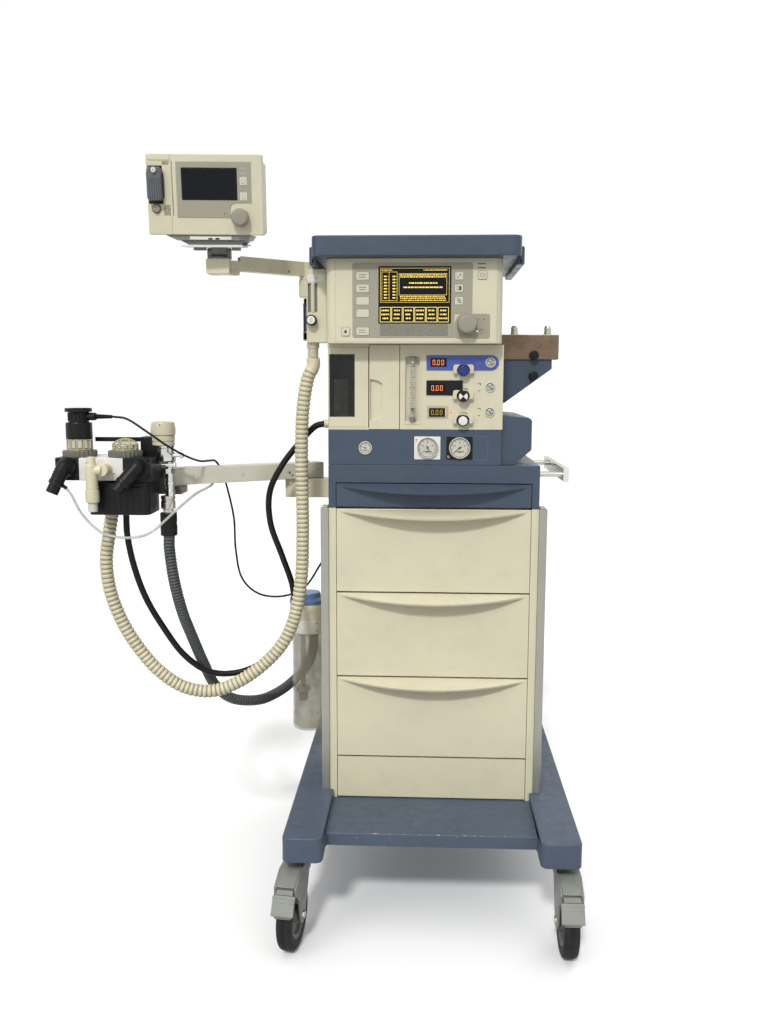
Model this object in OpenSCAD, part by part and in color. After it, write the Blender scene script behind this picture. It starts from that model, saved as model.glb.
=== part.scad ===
// Anesthesia machine on a wheeled base: drawer cabinet, gas controls, ventilator,
// side monitor on an arm, breathing system on an arm, and their hoses.
// +X is the machine's left-to-right seen from the front, +Y points to the back, +Z up.
// Lengths inside the modules are measured from the cabinet's centre plane (X),
// the cabinet's front face (Y) and the floor (Z); place() shifts them to the row's origin.

/* [Base] */
// Outer width over the two legs
base_w = 528; // [520:1:532]
// Width of one leg
leg_w = 72; // [68:1:74]
// Height of the top of the legs
leg_top = 218; // [216:1:218]
// Height of the top of the deck
deck_top = 200; // [199:1:200]
// Diameter of the caster wheels
wheel_d = 125; // [120:1:126]
// Width of the caster tyres
tyre_w = 28; // [24:1:30]

/* [Cabinet] */
// Width of the drawer cabinet
cab_w = 398; // [396:1:400]
// Depth of the drawer cabinet
cab_d = 400; // [390:1:404]
// Height of the cabinet's top edge, under the blue top
cab_top = 778; // [777:1:778]
// Height of the blue cabinet top's upper face
blue_top = 860; // [860:1:861]
// Width of the drawer fronts
front_w = 368; // [364:1:369]
// How far the pull lips stand out at their middle
lip_out = 36; // [30:1:40]
// Travel of every drawer
drawer_travel = 260; // [200:1:280]

/* [Head] */
// Width of the lower head housing
head_w = 327; // [326:1:328]
// Height of the lower head housing's upper face
head_top = 1084; // [1084:1:1085]
// Radius of the flow knobs
flow_knob_r = 11; // [9:0.5:11]
// Radius of the rotary control knob
control_knob_r = 18; // [15:0.5:18]
// Travel of the ventilator piston
piston_travel = 55; // [40:1:60]

/* [Monitor] */
// Forward tilt of the monitor at rest, in degrees
monitor_tilt = 7; // [5:1:9]
// Turn of the monitor at rest, in degrees
monitor_yaw = 4; // [0:1:6]

/* [Hoses] */
// Outer diameter of the cream ventilator hose
vent_hose_d = 26; // [22:1:27]
// Outer diameter of the black fresh-gas hose
gas_hose_d = 12; // [10:1:13]
// Outer diameter of the dark scavenging hose
scav_hose_d = 22; // [20:1:23]

/* [Hidden] */
$fn = 48;

// Colours
cream = [0.85, 0.82, 0.70];
blue = [0.28, 0.35, 0.46];
foil_grey = [0.68, 0.66, 0.58];
steel = [0.72, 0.72, 0.70];
dark = [0.12, 0.12, 0.13];
clear = [0.80, 0.82, 0.76, 0.45];

// Shift from the cabinet's reference point to the middle of the whole machine's box
row_x = 212;
row_y = -116;

// Fits
gap = 0.3;        // between parts that pass each other
fit = 0.05;       // radial clearance of a shaft in its bore
wall = 4;         // sheet and moulding thickness

// Cabinet
half_w = cab_w / 2;
front_half = front_w / 2;
seams = [286, 448, 615, cab_top];       // heights of the drawer seams
front_t = 18;                           // drawer front thickness
tray_half = 168;                        // half width of the drawer trays
tray_end = drawer_travel + 100;         // rear end of the trays
runner_h = 10;
blue_seam = 826;                        // upper edge of the blue drawer

// Casters
wheel_r = wheel_d / 2;
stem_r = 8;
axle_r = 5;
leg_bottom = 172;
stem_top = 205;
trail = 35;
front_stem = [245, -152];
rear_stem = [228, 392];
caster_turn = [-8, 0, 172, 188];       // front left, front right, rear left, rear right
pedal_pivot = [70, 126];                // forward of the stem, height

// Head
head_left = -200;
head_right = head_left + head_w;
head_bottom = 926;
head_back = 300;
bay_right = -126;                       // right wall of the ventilator bay
door_pivot = [-193, 8];
door_top = head_top - 5;
door_bottom = head_bottom + 5;
door_right = -123.3;
piston_axis = [-168, 70];
knob_x = 53;
knob_z = [1036, 989, 944];              // blue, black and white flow knobs
control_front = -34;
control_top = 1236;
control_knob_at = [57, 1118];
aux_knob_at = [-229, 1128];

// Monitor: arm pivot, and the tilt axis that the case is measured from
monitor_pivot = [-246, 82];
tilt_at = [-389, -40, 1245];
monitor_arm_top = 1241;
monitor_knob_at = [47, 58];
case_front = -62;

// Breathing system
arm_pivot = [-264, 148];
arm_end = [-495, 0];
arm_bottom = 820;
arm_top = 852;
block_front = -108;
block_bottom = 838;
block_top = 879;
dome_x = [-645, -561];
dome_y = -78;
relief_at = [-500, -45];
port_r = 11;                            // 22 mm breathing cone
left_elbow = [[-659, -124, 864], [-678, -136, 818]];
right_elbow = [[-528, -121, 864], [-561, -142, 822]];

// Scavenger
jar_at = [-262, 200];
jar_r = 37;

// Hose routes, from the cabinet's reference point
vent_route = [
    [-610, -20, 789.5], [-610, -20, 765], [-617, -20, 725], [-624, -20, 672], [-618, -20, 615],
    [-598, -20, 558], [-570, -18, 508], [-532, -15, 460], [-484, -10, 425], [-428, -6, 416],
    [-375, -1, 435], [-326, 6, 470], [-288, 12, 514], [-266, 19, 570], [-255, 23, 640],
    [-252, 25, 720], [-252, 25, 800], [-253, 26, 880], [-250, 27, 960], [-241, 30, 1018],
    [-230, 32, 1044], [-230, 32, 1059.5]
];
gas_route = [
    [-212, 60, 934.5], [-232, 60, 928], [-262, 57, 896], [-296, 55, 852], [-320, 54, 800],
    [-319, 55, 738], [-297, 58, 672], [-278, 60, 612], [-276, 60, 556], [-296, 56, 500],
    [-340, 47, 458], [-390, 36, 440], [-442, 24, 446], [-488, 15, 482], [-525, 8, 538],
    [-556, 2, 598], [-575, -4, 660], [-585, -8, 720], [-586, -8, 765], [-586, -8, 789.5]
];
scav_route = [
    [-494, -45, 729.5], [-494, -45, 700], [-488, -40, 640], [-479, -20, 575], [-468, 12, 515],
    [-456, 42, 458], [-438, 64, 404], [-408, 88, 369], [-364, 130, 352], [-332, 185, 350],
    [-306, 240, 358], [-276, 264, 388], [-262, 264, 430], [-262, 264, 486]
];
cable_route = [
    [-577, -90, 952], [-550, -96, 948], [-515, -98, 926], [-484, -88, 902], [-460, -50, 880],
    [-444, -2, 866], [-434, 40, 863], [-428, 65, 860], [-420, 84, 838], [-410, 95, 795], [-400, 97, 740],
    [-397, 93, 680], [-385, 90, 622], [-350, 87, 590], [-300, 86, 586], [-256, 86, 606],
    [-226, 86, 650], [-212, 86, 674], [-205, 86, 676]
];
sample_route = [
    [-653, -129, 826], [-645, -126, 812], [-630, -117, 776], [-598, -115, 745], [-560, -115, 736],
    [-525, -115, 739], [-500, -112, 752], [-470, -80, 782], [-446, -34, 806], [-434, 8, 813],
    [-429, 38, 818], [-428, 43, 834]
];

// ---- helpers ----

module place() {
    translate([row_x, row_y, 0]) children();
}

// Box between two values on each axis
module box(x, y, z) {
    translate([x[0], y[0], z[0]]) cube([x[1] - x[0], y[1] - y[0], z[1] - z[0]]);
}

// Rectangle with round corners, as true arcs
module round_rect(x, y, r) {
    translate([x[0] + r, y[0]]) square([x[1] - x[0] - 2 * r, y[1] - y[0]]);
    translate([x[0], y[0] + r]) square([x[1] - x[0], y[1] - y[0] - 2 * r]);
    for (cx = [x[0] + r, x[1] - r], cy = [y[0] + r, y[1] - r]) translate([cx, cy]) circle(r);
}

// Plan outline raised between two heights
module prism(z) {
    translate([0, 0, z[0]]) linear_extrude(z[1] - z[0]) children();
}

// Front outline (X, Z) given depth between two Y values
module slab(y) {
    translate([0, y[1], 0]) rotate([90, 0, 0]) linear_extrude(y[1] - y[0]) children();
}

// Cylinder between two points
module rod(from, to, r) {
    d = to - from;
    len = norm(d);
    turn = atan2(d[1], d[0]);
    lean = acos(d[2] / len);
    translate(from) rotate([0, lean, turn]) cylinder(h = len, r = r);
}

// Disc or dial on the front, its axis along Y
module disc(x, z, y, r) {
    rod([x, y[1], z], [x, y[0], z], r);
}

// Knob with a flange, a grip and a shaft that runs back into its panel
module knob(x, z, face, r, out, shaft_r, shaft_in) {
    disc(x, z, [face - out, face - gap], r);
    disc(x, z, [face - gap - 1, face + shaft_in], shaft_r);
}

function unit(v) = v / norm(v);

// Direction of a route at its point i
function heading(p, i) = unit(p[min(i + 1, len(p) - 1)] - p[max(i - 1, 0)]);

// Ring of points about a route's point i
function ring(p, i, r, sides) =
    let (t = heading(p, i), a = unit(cross(t, [0, 1, 0])), b = cross(t, a))
    [for (k = [0:sides - 1]) p[i] + r * (cos(360 * k / sides) * a + sin(360 * k / sides) * b)];

// Tube swept along a route
module tube(p, d, sides) {
    rings = len(p);
    points = [for (i = [0:rings - 1]) each ring(p, i, d / 2, sides)];
    skin = [for (i = [0:rings - 2], k = [0:sides - 1])
        let (n = (k + 1) % sides)
        [i * sides + k, (i + 1) * sides + k, (i + 1) * sides + n, i * sides + n]];
    start = [for (k = [0:sides - 1]) k];
    end = [for (k = [sides - 1:-1:0]) (rings - 1) * sides + k];
    polyhedron(points, concat(skin, [start, end]), convexity = 8);
}

// ---- base ----

module leg(side) {
    outer = base_w / 2;
    inner = outer - leg_w;
    x = side > 0 ? [inner, outer] : [-outer, -inner];
    difference() {
        prism([leg_bottom, leg_top]) round_rect(x, [-213, 436], 13);
        prism([leg_bottom - 1, leg_top - 8]) round_rect([x[0] + 6, x[1] - 6], [-207, 430], 7);
    }
    for (s = [front_stem, rear_stem])
        translate([side * s[0], s[1], leg_bottom]) cylinder(h = leg_top - leg_bottom - 4, r = 16);
}

module base_frame() {
    color(blue) place() difference() {
        union() {
            leg(-1);
            leg(1);
            difference() {
                box([-196, 196], [-150, 430], [175, deck_top]);
                box([-180, 180], [-142, 422], [174, deck_top - 6]);
            }
        }
        for (side = [-1, 1], s = [front_stem, rear_stem])
            translate([side * s[0], s[1], leg_bottom - 1])
                cylinder(h = stem_top + 1 - leg_bottom, r = stem_r + fit);
        // seat of the cabinet
        box([-half_w, half_w], [0, cab_d], [deck_top, leg_top + 1]);
    }
}

// Pedal pin of a caster, its hinge line
module pedal_pin(half, r) {
    rod([-half, -pedal_pivot[0], pedal_pivot[1]], [half, -pedal_pivot[0], pedal_pivot[1]], r);
}

// Plate across a caster between two X values, from its side outline (Y, Z)
module side_plate(x) {
    translate([x[0], 0, 0]) rotate([90, 0, 90]) linear_extrude(x[1] - x[0]) children();
}

// Fork: swivel head, bridge, two cheeks, stem into the leg and axle; built facing -Y, then turned
module fork(at, turn) {
    cheek_in = tyre_w / 2 + 2;
    cheek_out = cheek_in + 5;
    crown = leg_bottom - gap;
    color(steel) place() translate([at[0], at[1], 0]) rotate([0, 0, turn]) {
        translate([0, 0, crown - 1]) cylinder(h = stem_top - crown, r = stem_r);
        translate([0, 0, 150]) cylinder(h = crown - 150, r = 18);
        difference() {
            union() {
                side_plate([-cheek_out, cheek_out])
                    polygon([[22, 152], [-44, 152], [-60, 141], [-60, 126], [20, 126]]);
                for (x = [[-cheek_out, -cheek_in], [cheek_in, cheek_out]]) {
                    side_plate(x) polygon([
                        [22, 152], [-44, 152], [-78, 134], [-78, 119], [-58, 100], [-50, 58], [-20, 58], [14, 134]
                    ]);
                    rod([x[0], -trail, wheel_r], [x[1], -trail, wheel_r], 15);
                }
            }
            rod([-cheek_in, -trail, wheel_r], [cheek_in, -trail, wheel_r], wheel_r + 4.5);
            pedal_pin(cheek_out + 5, 3 + fit);
        }
        rod([-cheek_out, -trail, wheel_r], [cheek_out, -trail, wheel_r], axle_r);
    }
}

module wheel(at, turn) {
    half = tyre_w / 2;
    color(dark) place() translate([at[0], at[1], 0]) rotate([0, 0, turn]) translate([0, -trail, wheel_r])
        rotate([0, 90, 0]) rotate_extrude($fn = 72) {
            translate([wheel_r - 8, -half + 8]) square([8, tyre_w - 16]);
            for (s = [-1, 1]) translate([wheel_r - 8, s * (half - 8)]) circle(8);
            translate([wheel_r - 22, -half + 1]) square([14, tyre_w - 2]);
            translate([axle_r + fit, -4]) square([wheel_r - 26, 8]);
            translate([axle_r + fit, -half]) square([8, tyre_w]);
        }
}

// Ribbed brake pedal that follows the wheel, hinged on the fork
module pedal(at, turn) {
    tread = atan2(38, 21);
    color(steel) place() translate([at[0], at[1], 0]) rotate([0, 0, turn]) {
        pedal_pin(tyre_w / 2 + 7, 3);
        pedal_pin(tyre_w / 2 + 1.7, 6);
        difference() {
            side_plate([-15, 15]) polygon([
                [-66, 131], [-80, 130], [-101, 92], [-98, 86], [-92, 86], [-66, 120]
            ]);
            rod([-30, -trail, wheel_r], [30, -trail, wheel_r], wheel_r + 3);
        }
        for (i = [0:5]) translate([0, -82 - i * 3.4, 125 - i * 6.2]) rotate([tread, 0, 0])
            box(i == 0 ? [-15.6, 15.6] : [i / 2 - 21, 21 - i / 2], [-2.6, 2.6], [-4, 3]);
    }
}

module front_left_fork() { fork([-front_stem[0], front_stem[1]], caster_turn[0]); }
module front_right_fork() { fork(front_stem, caster_turn[1]); }
module rear_left_fork() { fork([-rear_stem[0], rear_stem[1]], caster_turn[2]); }
module rear_right_fork() { fork(rear_stem, caster_turn[3]); }
module front_left_wheel() { wheel([-front_stem[0], front_stem[1]], caster_turn[0]); }
module front_right_wheel() { wheel(front_stem, caster_turn[1]); }
module rear_left_wheel() { wheel([-rear_stem[0], rear_stem[1]], caster_turn[2]); }
module rear_right_wheel() { wheel(rear_stem, caster_turn[3]); }
module left_brake_pedal() { pedal([-front_stem[0], front_stem[1]], caster_turn[0]); }
module right_brake_pedal() { pedal(front_stem, caster_turn[1]); }

// ---- cabinet ----

// Slotted aluminium profile beside the cabinet
module column(x, y) {
    prism([leg_top, cab_top]) difference() {
        translate([x[0], y[0]]) square([x[1] - x[0], y[1] - y[0]]);
        for (cx = x, cy = [y[0] + 12, y[1] - 12]) if (abs(cx) > half_w + 5)
            translate([cx - 5, cy - 3]) square([10, 6]);
    }
}

module side_columns() {
    color("silver") place() for (s = [-1, 1], y = [[-4, 36], [356, 396]])
        column(s > 0 ? [half_w, half_w + 15] : [-half_w - 15, -half_w], y);
}

// Height of the runner under a drawer's rail
function runner_z(low, high) = low + (high - low) * 0.45;

module cabinet_shell() {
    inside = half_w - wall;
    lows = [for (i = [0:2]) seams[i]];
    highs = [for (i = [1:3]) seams[i]];
    color(cream) place() {
        for (s = [-1, 1]) {
            x = s > 0 ? [inside, half_w] : [-half_w, -inside];
            stile = s > 0 ? [front_half + 0.7, half_w] : [-half_w, -front_half - 0.7];
            box(x, [0, cab_d], [deck_top, cab_top]);
            box(stile, [0, 16], [deck_top, cab_top]);
            for (i = [0:2]) {
                z = runner_z(lows[i], highs[i]);
                runner = s > 0 ? [176, inside] : [-inside, -176];
                box(runner, [20, 390], [z - runner_h, z]);
            }
        }
        box([-inside, inside], [cab_d - 3, cab_d], [deck_top, cab_top]);
        box([-inside, inside], [20, cab_d - 3], [deck_top, deck_top + 4]);
        box([-inside, inside], [20, cab_d - 3], [cab_top - 3, cab_top]);
        for (i = [0:2]) box([-inside, inside], [front_t + 1, 40], [lows[i] - 3, lows[i] + 3]);
        box([-front_half, front_half], [2, 14], [deck_top + 2, seams[0] - 2]);
        box([-inside, inside], [14, 20], [deck_top, seams[0] - 6]);
        // socket of the sensor cable
        rod([-half_w - 6, 86, 676], [-half_w + 1, 86, 676], 5);
    }
}

module cabinet_top() {
    inside = half_w - wall;
    color(blue) place() difference() {
        box([-half_w, half_w], [0, cab_d], [cab_top, blue_top]);
        box([-front_half - 0.8, front_half + 0.8], [-1, 25], [cab_top - 1, blue_seam]);
        box([-inside, inside], [24, cab_d - wall], [cab_top + 2, blue_top - wall]);
        box([-front_half, front_half], [20, 30], [cab_top + 2, blue_seam]);
    }
    color(blue) place() for (s = [-1, 1]) {
        runner = s > 0 ? [176, inside + 1] : [-inside - 1, -176];
        box(runner, [26, 390], [cab_top + 1, cab_top + 12]);
    }
}

// Bowed pull lip: a circular segment that slopes down towards its edge
module lip(z) {
    span = front_w - 2;
    sag = lip_out;
    r = (span * span / 4 + sag * sag) / (2 * sag);
    translate([0, 1, z]) rotate([20, 0, 0]) translate([0, 0, -5]) linear_extrude(5) intersection() {
        translate([0, r - sag]) circle(r, $fn = 180);
        translate([-span / 2, -sag]) square([span, sag]);
    }
}

// Drawer: front with lip, open tray and two rails above the cabinet's runners
module drawer(low, high, rail_z, tint) {
    bottom = low + 8;
    rim = min(high - 14, rail_z + 40);
    color(tint) place() {
        box([-front_half, front_half], [0, front_t], [low + 1.5, high - 1.5]);
        lip(high - 2.5);
        difference() {
            box([-tray_half, tray_half], [front_t, tray_end], [bottom, rim]);
            box([-tray_half + 2, tray_half - 2], [front_t + 2, tray_end - 2], [bottom + 2, rim + 1]);
        }
        for (s = [-1, 1]) {
            rail = s > 0 ? [tray_half, front_half] : [-front_half, -tray_half];
            box(rail, [front_t + 4, tray_end], [rail_z + gap, rail_z + 8]);
        }
    }
}

module blue_drawer() { drawer(cab_top + 1, blue_seam, cab_top + 12, blue); }
module upper_drawer() { drawer(seams[2], seams[3], runner_z(seams[2], seams[3]), cream); }
module middle_drawer() { drawer(seams[1], seams[2], runner_z(seams[1], seams[2]), cream); }
module lower_drawer() { drawer(seams[0], seams[1], runner_z(seams[0], seams[1]), cream); }

// ---- gauge tier ----

module gauge_housing() {
    color(blue) place() {
        difference() {
            box([head_left + 1, head_right - 1], [2, 330], [blue_top, head_bottom]);
            box([head_left + 5, head_right - 5], [7, 326], [blue_top - 1, head_bottom - 4]);
        }
        slab([12, 330]) polygon([
            [head_right - 1, blue_top], [150, blue_top], [183, 889], [183, 944], [178, 949],
            [head_right, 953], [head_right, head_bottom], [head_right - 1, head_bottom]
        ]);
    }
}

module pressure_gauges() {
    color("white") place() {
        disc(-129, 892, [-1.5, 2], 12.5);
        for (g = [-12, 48]) {
            box([g - 25, g + 24], [0.5, 2], [871, 914]);
            disc(g, 893, [-5, 0.5], 20);
        }
        for (z = [1051, 1006, 960]) disc(103, z, [-2, 2], 9.4);
    }
}

// ---- head ----

module head_housing() {
    color(cream) place() difference() {
        union() {
            box([head_left, head_right], [2, head_back], [head_bottom, head_top]);
            box([-190, 118], [60, head_back], [head_top, control_top - 2]);
            // gland of the fresh-gas hose
            rod([head_left - 12, 60, 934.5], [head_left + 2, 60, 934.5], 8);
        }
        // ventilator bay
        box([-196, bay_right], [1, 200], [door_bottom - gap, door_top + gap]);
        box([head_left - 1, -190], [1, 15], [door_bottom - gap, door_top + gap]);
        box([-130, -121], [1, 14 + gap], [door_bottom - gap, door_top + gap]);
        // recess and hollow behind the front panels
        box([-122, head_right + 1], [1, 14], [head_bottom - 1, head_top + 1]);
        box([-122, head_right - wall], [13, head_back - wall], [head_bottom + wall, head_top - wall]);
        box([-186, 114], [64, head_back - wall], [head_top + wall, control_top - 6]);
        // door pin holes
        translate([door_pivot[0], door_pivot[1], head_bottom - 1])
            cylinder(h = head_top - head_bottom + 2, r = 2.5);
    }
}

module access_panel() {
    color(cream) place() difference() {
        box([-121.7, -65.4], [2, 13.7], [head_bottom + 1, head_top - 1]);
        slab([-1, 8]) intersection() {
            translate([-121, 982]) circle(r = 38);
            translate([-120, 944]) square([22, 76]);
        }
    }
}

module ear_guard(z) {
    difference() {
        slab([-7, 2.5]) round_rect([knob_x - 18.5, knob_x + 18.5], [z - 5, z + 11], 3);
        disc(knob_x, z, [-8, 3], flow_knob_r + 1);
    }
}

module flow_panel() {
    color(cream) place() difference() {
        union() {
            box([-64.4, head_right], [2, 13.7], [head_bottom + 1, head_top - 1]);
            slab([0.6, 2]) {
                translate([-15, 1037]) square([119.5, 27]);
                translate([104.5, 1050.5]) circle(13.5);
            }
            slab([0.6, 2]) round_rect([-15, 52], [991, 1018], 2);
            slab([0.6, 2]) round_rect([-10, 22], [951, 967], 1.5);
            for (z = knob_z) ear_guard(z);
            slab([1, 2]) difference() {
                round_rect([-57, -25], [937, 1067], 2);
                round_rect([-55, -27], [939, 1065], 1.5);
            }
        }
        slab([-1, 9]) round_rect([-54, -28], [942, 1062], 3);
        for (z = knob_z) {
            disc(knob_x, z, [-20, 1.5], flow_knob_r + 0.7);
            disc(knob_x, z, [0, 20], 4 + fit);
        }
        for (z = [1051, 1006, 960]) disc(103, z, [0, 2], 9.4);
    }
}

// Glass measuring tube between two end blocks, with its float
module flow_tube() {
    color(clear) place() {
        for (z = [[943, 957], [1047, 1061]]) translate([-41, 1, z[0]]) cylinder(h = z[1] - z[0], r = 8);
        difference() {
            translate([-41, 1, 957]) cylinder(h = 90, r = 6);
            translate([-41, 1, 957]) cylinder(h = 90, r = 4.5);
        }
        translate([-41, 1, 961]) sphere(4);
    }
}

module flow_knob(z, tint) {
    color(tint) place() knob(knob_x, z, 1.5, flow_knob_r, 18, 4, 10);
}
module blue_flow_knob() { flow_knob(knob_z[0], "navy"); }
module black_flow_knob() { flow_knob(knob_z[1], dark); }
module white_flow_knob() { flow_knob(knob_z[2], "white"); }

module ventilator_door() {
    mid = (door_bottom + door_top) / 2;
    color(cream) place() {
        difference() {
            union() {
                box([door_pivot[0], door_right], [2, 14], [door_bottom, door_top]);
                translate([door_pivot[0], door_pivot[1], door_bottom])
                    cylinder(h = door_top - door_bottom, r = 6);
            }
            box([-186, -151], [0, 20], [952, 1064]);
            box([-197, -149], [1, 5], [950, 1066]);
        }
        // window pane
        box([-196.9, -149.1], [2.2, 5], [950.1, 1065.9]);
        // hinge pins
        translate([door_pivot[0], door_pivot[1], mid - 78]) difference() {
            cylinder(h = 156, r = 2.5 - fit);
            translate([0, 0, 10]) cylinder(h = 136, r = 6);
        }
    }
}

// Ventilator: clear cylinder that the piston runs in
module ventilator_cylinder() {
    color(clear) place() translate([piston_axis[0], piston_axis[1], 0]) {
        difference() {
            translate([0, 0, 945]) cylinder(h = 125, r = 26);
            translate([0, 0, 944]) cylinder(h = 120, r = 24);
        }
        translate([0, 0, door_bottom]) cylinder(h = 14, r = 26);
    }
}

module ventilator_piston() {
    color(foil_grey) place() translate([piston_axis[0], piston_axis[1], 0]) {
        translate([0, 0, 946]) cylinder(h = 22, r = 24 - fit);
        translate([0, 0, 960]) cylinder(h = 1063 - 960 - piston_travel, r = 6);
    }
}

module control_housing() {
    color(cream) place() difference() {
        prism([head_top, control_top]) round_rect([-198, 121], [control_front, 59.7], 14);
        prism([head_top + wall, control_top - wall]) round_rect([-192, 115], [control_front + 6, 54], 10);
        disc(control_knob_at[0], control_knob_at[1], [control_front - 2, control_front + 12], 3 + fit);
    }
}

// Soft key, push key and screen fields stand a little out of the foil
module key(x, z, w, h) {
    box([x, x + w], [control_front - 1.8, control_front], [z, z + h]);
}

module control_panel() {
    color(foil_grey) place() difference() {
        union() {
            slab([control_front - 1, control_front]) polygon([
                [-150, 1095], [34, 1095], [34, 1137], [66, 1137], [66, 1227], [-150, 1227]
            ]);
            slab([control_front - 1.4, control_front]) {
                translate([54, 1094]) square([44, 43]);
                translate([34, 1094]) square([64, 23]);
                translate([54, 1117]) circle(20);
            }
            box([-101, 26], [control_front - 1.6, control_front], [1121, 1219]);
            for (i = [0:5]) key(-100 + i * 20.5, 1099, 19.7, 21);
            for (z = [1197, 1175, 1153, 1131, 1099]) key(-143, z, 23, 14);
            key(-170, 1098, 15, 15);
            for (z = [1197, 1175, 1153]) key(34.5, z, 15, 14);
            key(76, 1198, 15, 14);
            for (z = [1217, 1224]) key(75, z, 14, 2);
            key(77, 1100, 12, 12);
        }
        disc(control_knob_at[0], control_knob_at[1], [control_front - 3, control_front + 1], 3 + fit);
    }
}

module control_knob() {
    color(foil_grey) place()
        knob(control_knob_at[0], control_knob_at[1], control_front - 1.5, control_knob_r, 22, 3, 12);
}

// Top tray with side bumpers
module top_shelf() {
    shelf_top = 1272;
    color(blue) place() difference() {
        union() {
            prism([1236, shelf_top]) round_rect([-222, 152], [-60, 300], 16);
            for (x = [[-229, -215], [145, 159]])
                prism([1224, 1256]) round_rect(x, [-30, 240], 6);
        }
        prism([shelf_top - 6, shelf_top + 1]) round_rect([-216, 146], [-54, 294], 10);
        prism([1235, 1262]) round_rect([-206, 136], [-44, 284], 8);
    }
    color(blue) place() prism([1236, 1240]) difference() {
        round_rect([-206, 136], [-44, 284], 8);
        translate([-190, 62]) square([308, 200]);
    }
}

// ---- left side ----

module oxygen_flowmeter() {
    color(cream) place() {
        difference() {
            prism([1088, 1222]) round_rect([-239, -200], [12, 58], 4);
            box([-236, -219], [10, 18], [1143, 1196]);
            disc(aux_knob_at[0], aux_knob_at[1], [11, 30], 3 + fit);
        }
        translate([-227.5, 15, 1143]) cylinder(h = 53, r = 4);
        // clamp on the outer side
        box([-246, -239], [20, 44], [1092, 1108]);
        box([-247, -243], [20, 44], [1108, 1158]);
        box([-246, -239], [20, 44], [1158, 1170]);
        // port for the ventilator hose
        translate([-230, 32, 1060]) cylinder(h = 28, r = 10);
        translate([-230, 32, 1078]) cylinder(h = 10, r = 12);
    }
}

module auxiliary_knob() {
    color("white") place() knob(aux_knob_at[0], aux_knob_at[1], 12, 10, 18, 3, 12);
}

// ---- right side ----

module vaporizer_bracket() {
    color(blue) place() {
        slab([114, 250]) polygon([
            [head_right, 1059], [230, 1059], [230, 1041], [138, 974], [head_right, 974]
        ]);
        disc(194, 1027, [104, 114], 8.5);
    }
}

module vaporizer_bar() {
    color("tan") place() {
        box([head_right, 242], [110, 150], [1059, 1107]);
        for (x = [157, 222]) {
            translate([x, 130, 1107]) cylinder(h = 12, r = 7);
            translate([x, 130, 1119]) cylinder(h = 6, r1 = 7, r2 = 5);
        }
        disc(194, 1067, [100, 110], 9);
    }
}

module equipment_rail() {
    color(steel) place() {
        box([245, 255], [20, 322], [828.5, 853.5]);
        for (y = [40, 300]) {
            rod([half_w, y, 841], [246, y, 841], 5);
            rod([half_w, y, 841], [half_w + 4, y, 841], 9);
        }
    }
}

// ---- monitor ----

module arm_brackets() {
    color(cream) place() {
        // monitor bracket on the head's side
        box([-246, head_left + 10], [66, 98], [1176, 1208]);
        translate([monitor_pivot[0], monitor_pivot[1], 1176]) cylinder(h = 32, r = 16);
        translate([monitor_pivot[0], monitor_pivot[1], 1200]) cylinder(h = 34, r = 8);
        // breathing system bracket on the cabinet's side
        box([-300, -half_w], [128, 168], [782, arm_bottom - gap]);
        translate([arm_pivot[0], arm_pivot[1], 800]) cylinder(h = 44, r = 10);
    }
}

module monitor_arm() {
    pivot = monitor_pivot;
    d = [tilt_at[0], tilt_at[1]] - pivot;
    reach = norm(d);
    turn = atan2(d[1], d[0]);
    low = monitor_arm_top - 26;
    color(cream) place() difference() {
        union() {
            translate([pivot[0], pivot[1], 0]) rotate([0, 0, turn])
                box([0, reach - 18], [-9, 9], [low, monitor_arm_top]);
            translate([pivot[0], pivot[1], 1208.3]) cylinder(h = monitor_arm_top - 1208.3, r = 15);
            box([tilt_at[0] - 20.5, tilt_at[0] + 20.5], [tilt_at[1] - 20, tilt_at[1] + 20], [1207, 1232]);
            translate([pivot[0], pivot[1], 0]) rotate([0, 0, turn])
                box([reach - 36, reach - 8], [-8, 8], [1207, 1232]);
        }
        translate([pivot[0], pivot[1], 1200]) cylinder(h = 35, r = 8 + fit);
        translate([tilt_at[0], tilt_at[1], 1210]) cylinder(h = 40, r = 8 + fit);
        box([tilt_at[0] - 34, tilt_at[0] + 34], [tilt_at[1] - 34, tilt_at[1] + 34], [1232, 1250]);
    }
}

module monitor_swivel() {
    color(steel) place() translate([tilt_at[0], tilt_at[1], 0]) rotate([0, 0, monitor_yaw]) {
        translate([0, 0, 1211]) cylinder(h = 24, r = 8);
        translate([0, 0, 1232.3]) cylinder(h = 3.7, r = 19);
        for (s = [-1, 1]) {
            x = s > 0 ? [14, 21] : [-21, -14];
            box(x, [-8, 8], [1234, tilt_at[2]]);
            rod([x[0], 0, tilt_at[2]], [x[1], 0, tilt_at[2]], 8);
        }
        rod([-21, 0, tilt_at[2]], [21, 0, tilt_at[2]], 4);
    }
}

// Puts the monitor's own frame, about its tilt axis, into the machine
module tilted() {
    place() translate(tilt_at) rotate([0, 0, monitor_yaw]) rotate([monitor_tilt, 0, 0]) children();
}

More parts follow.
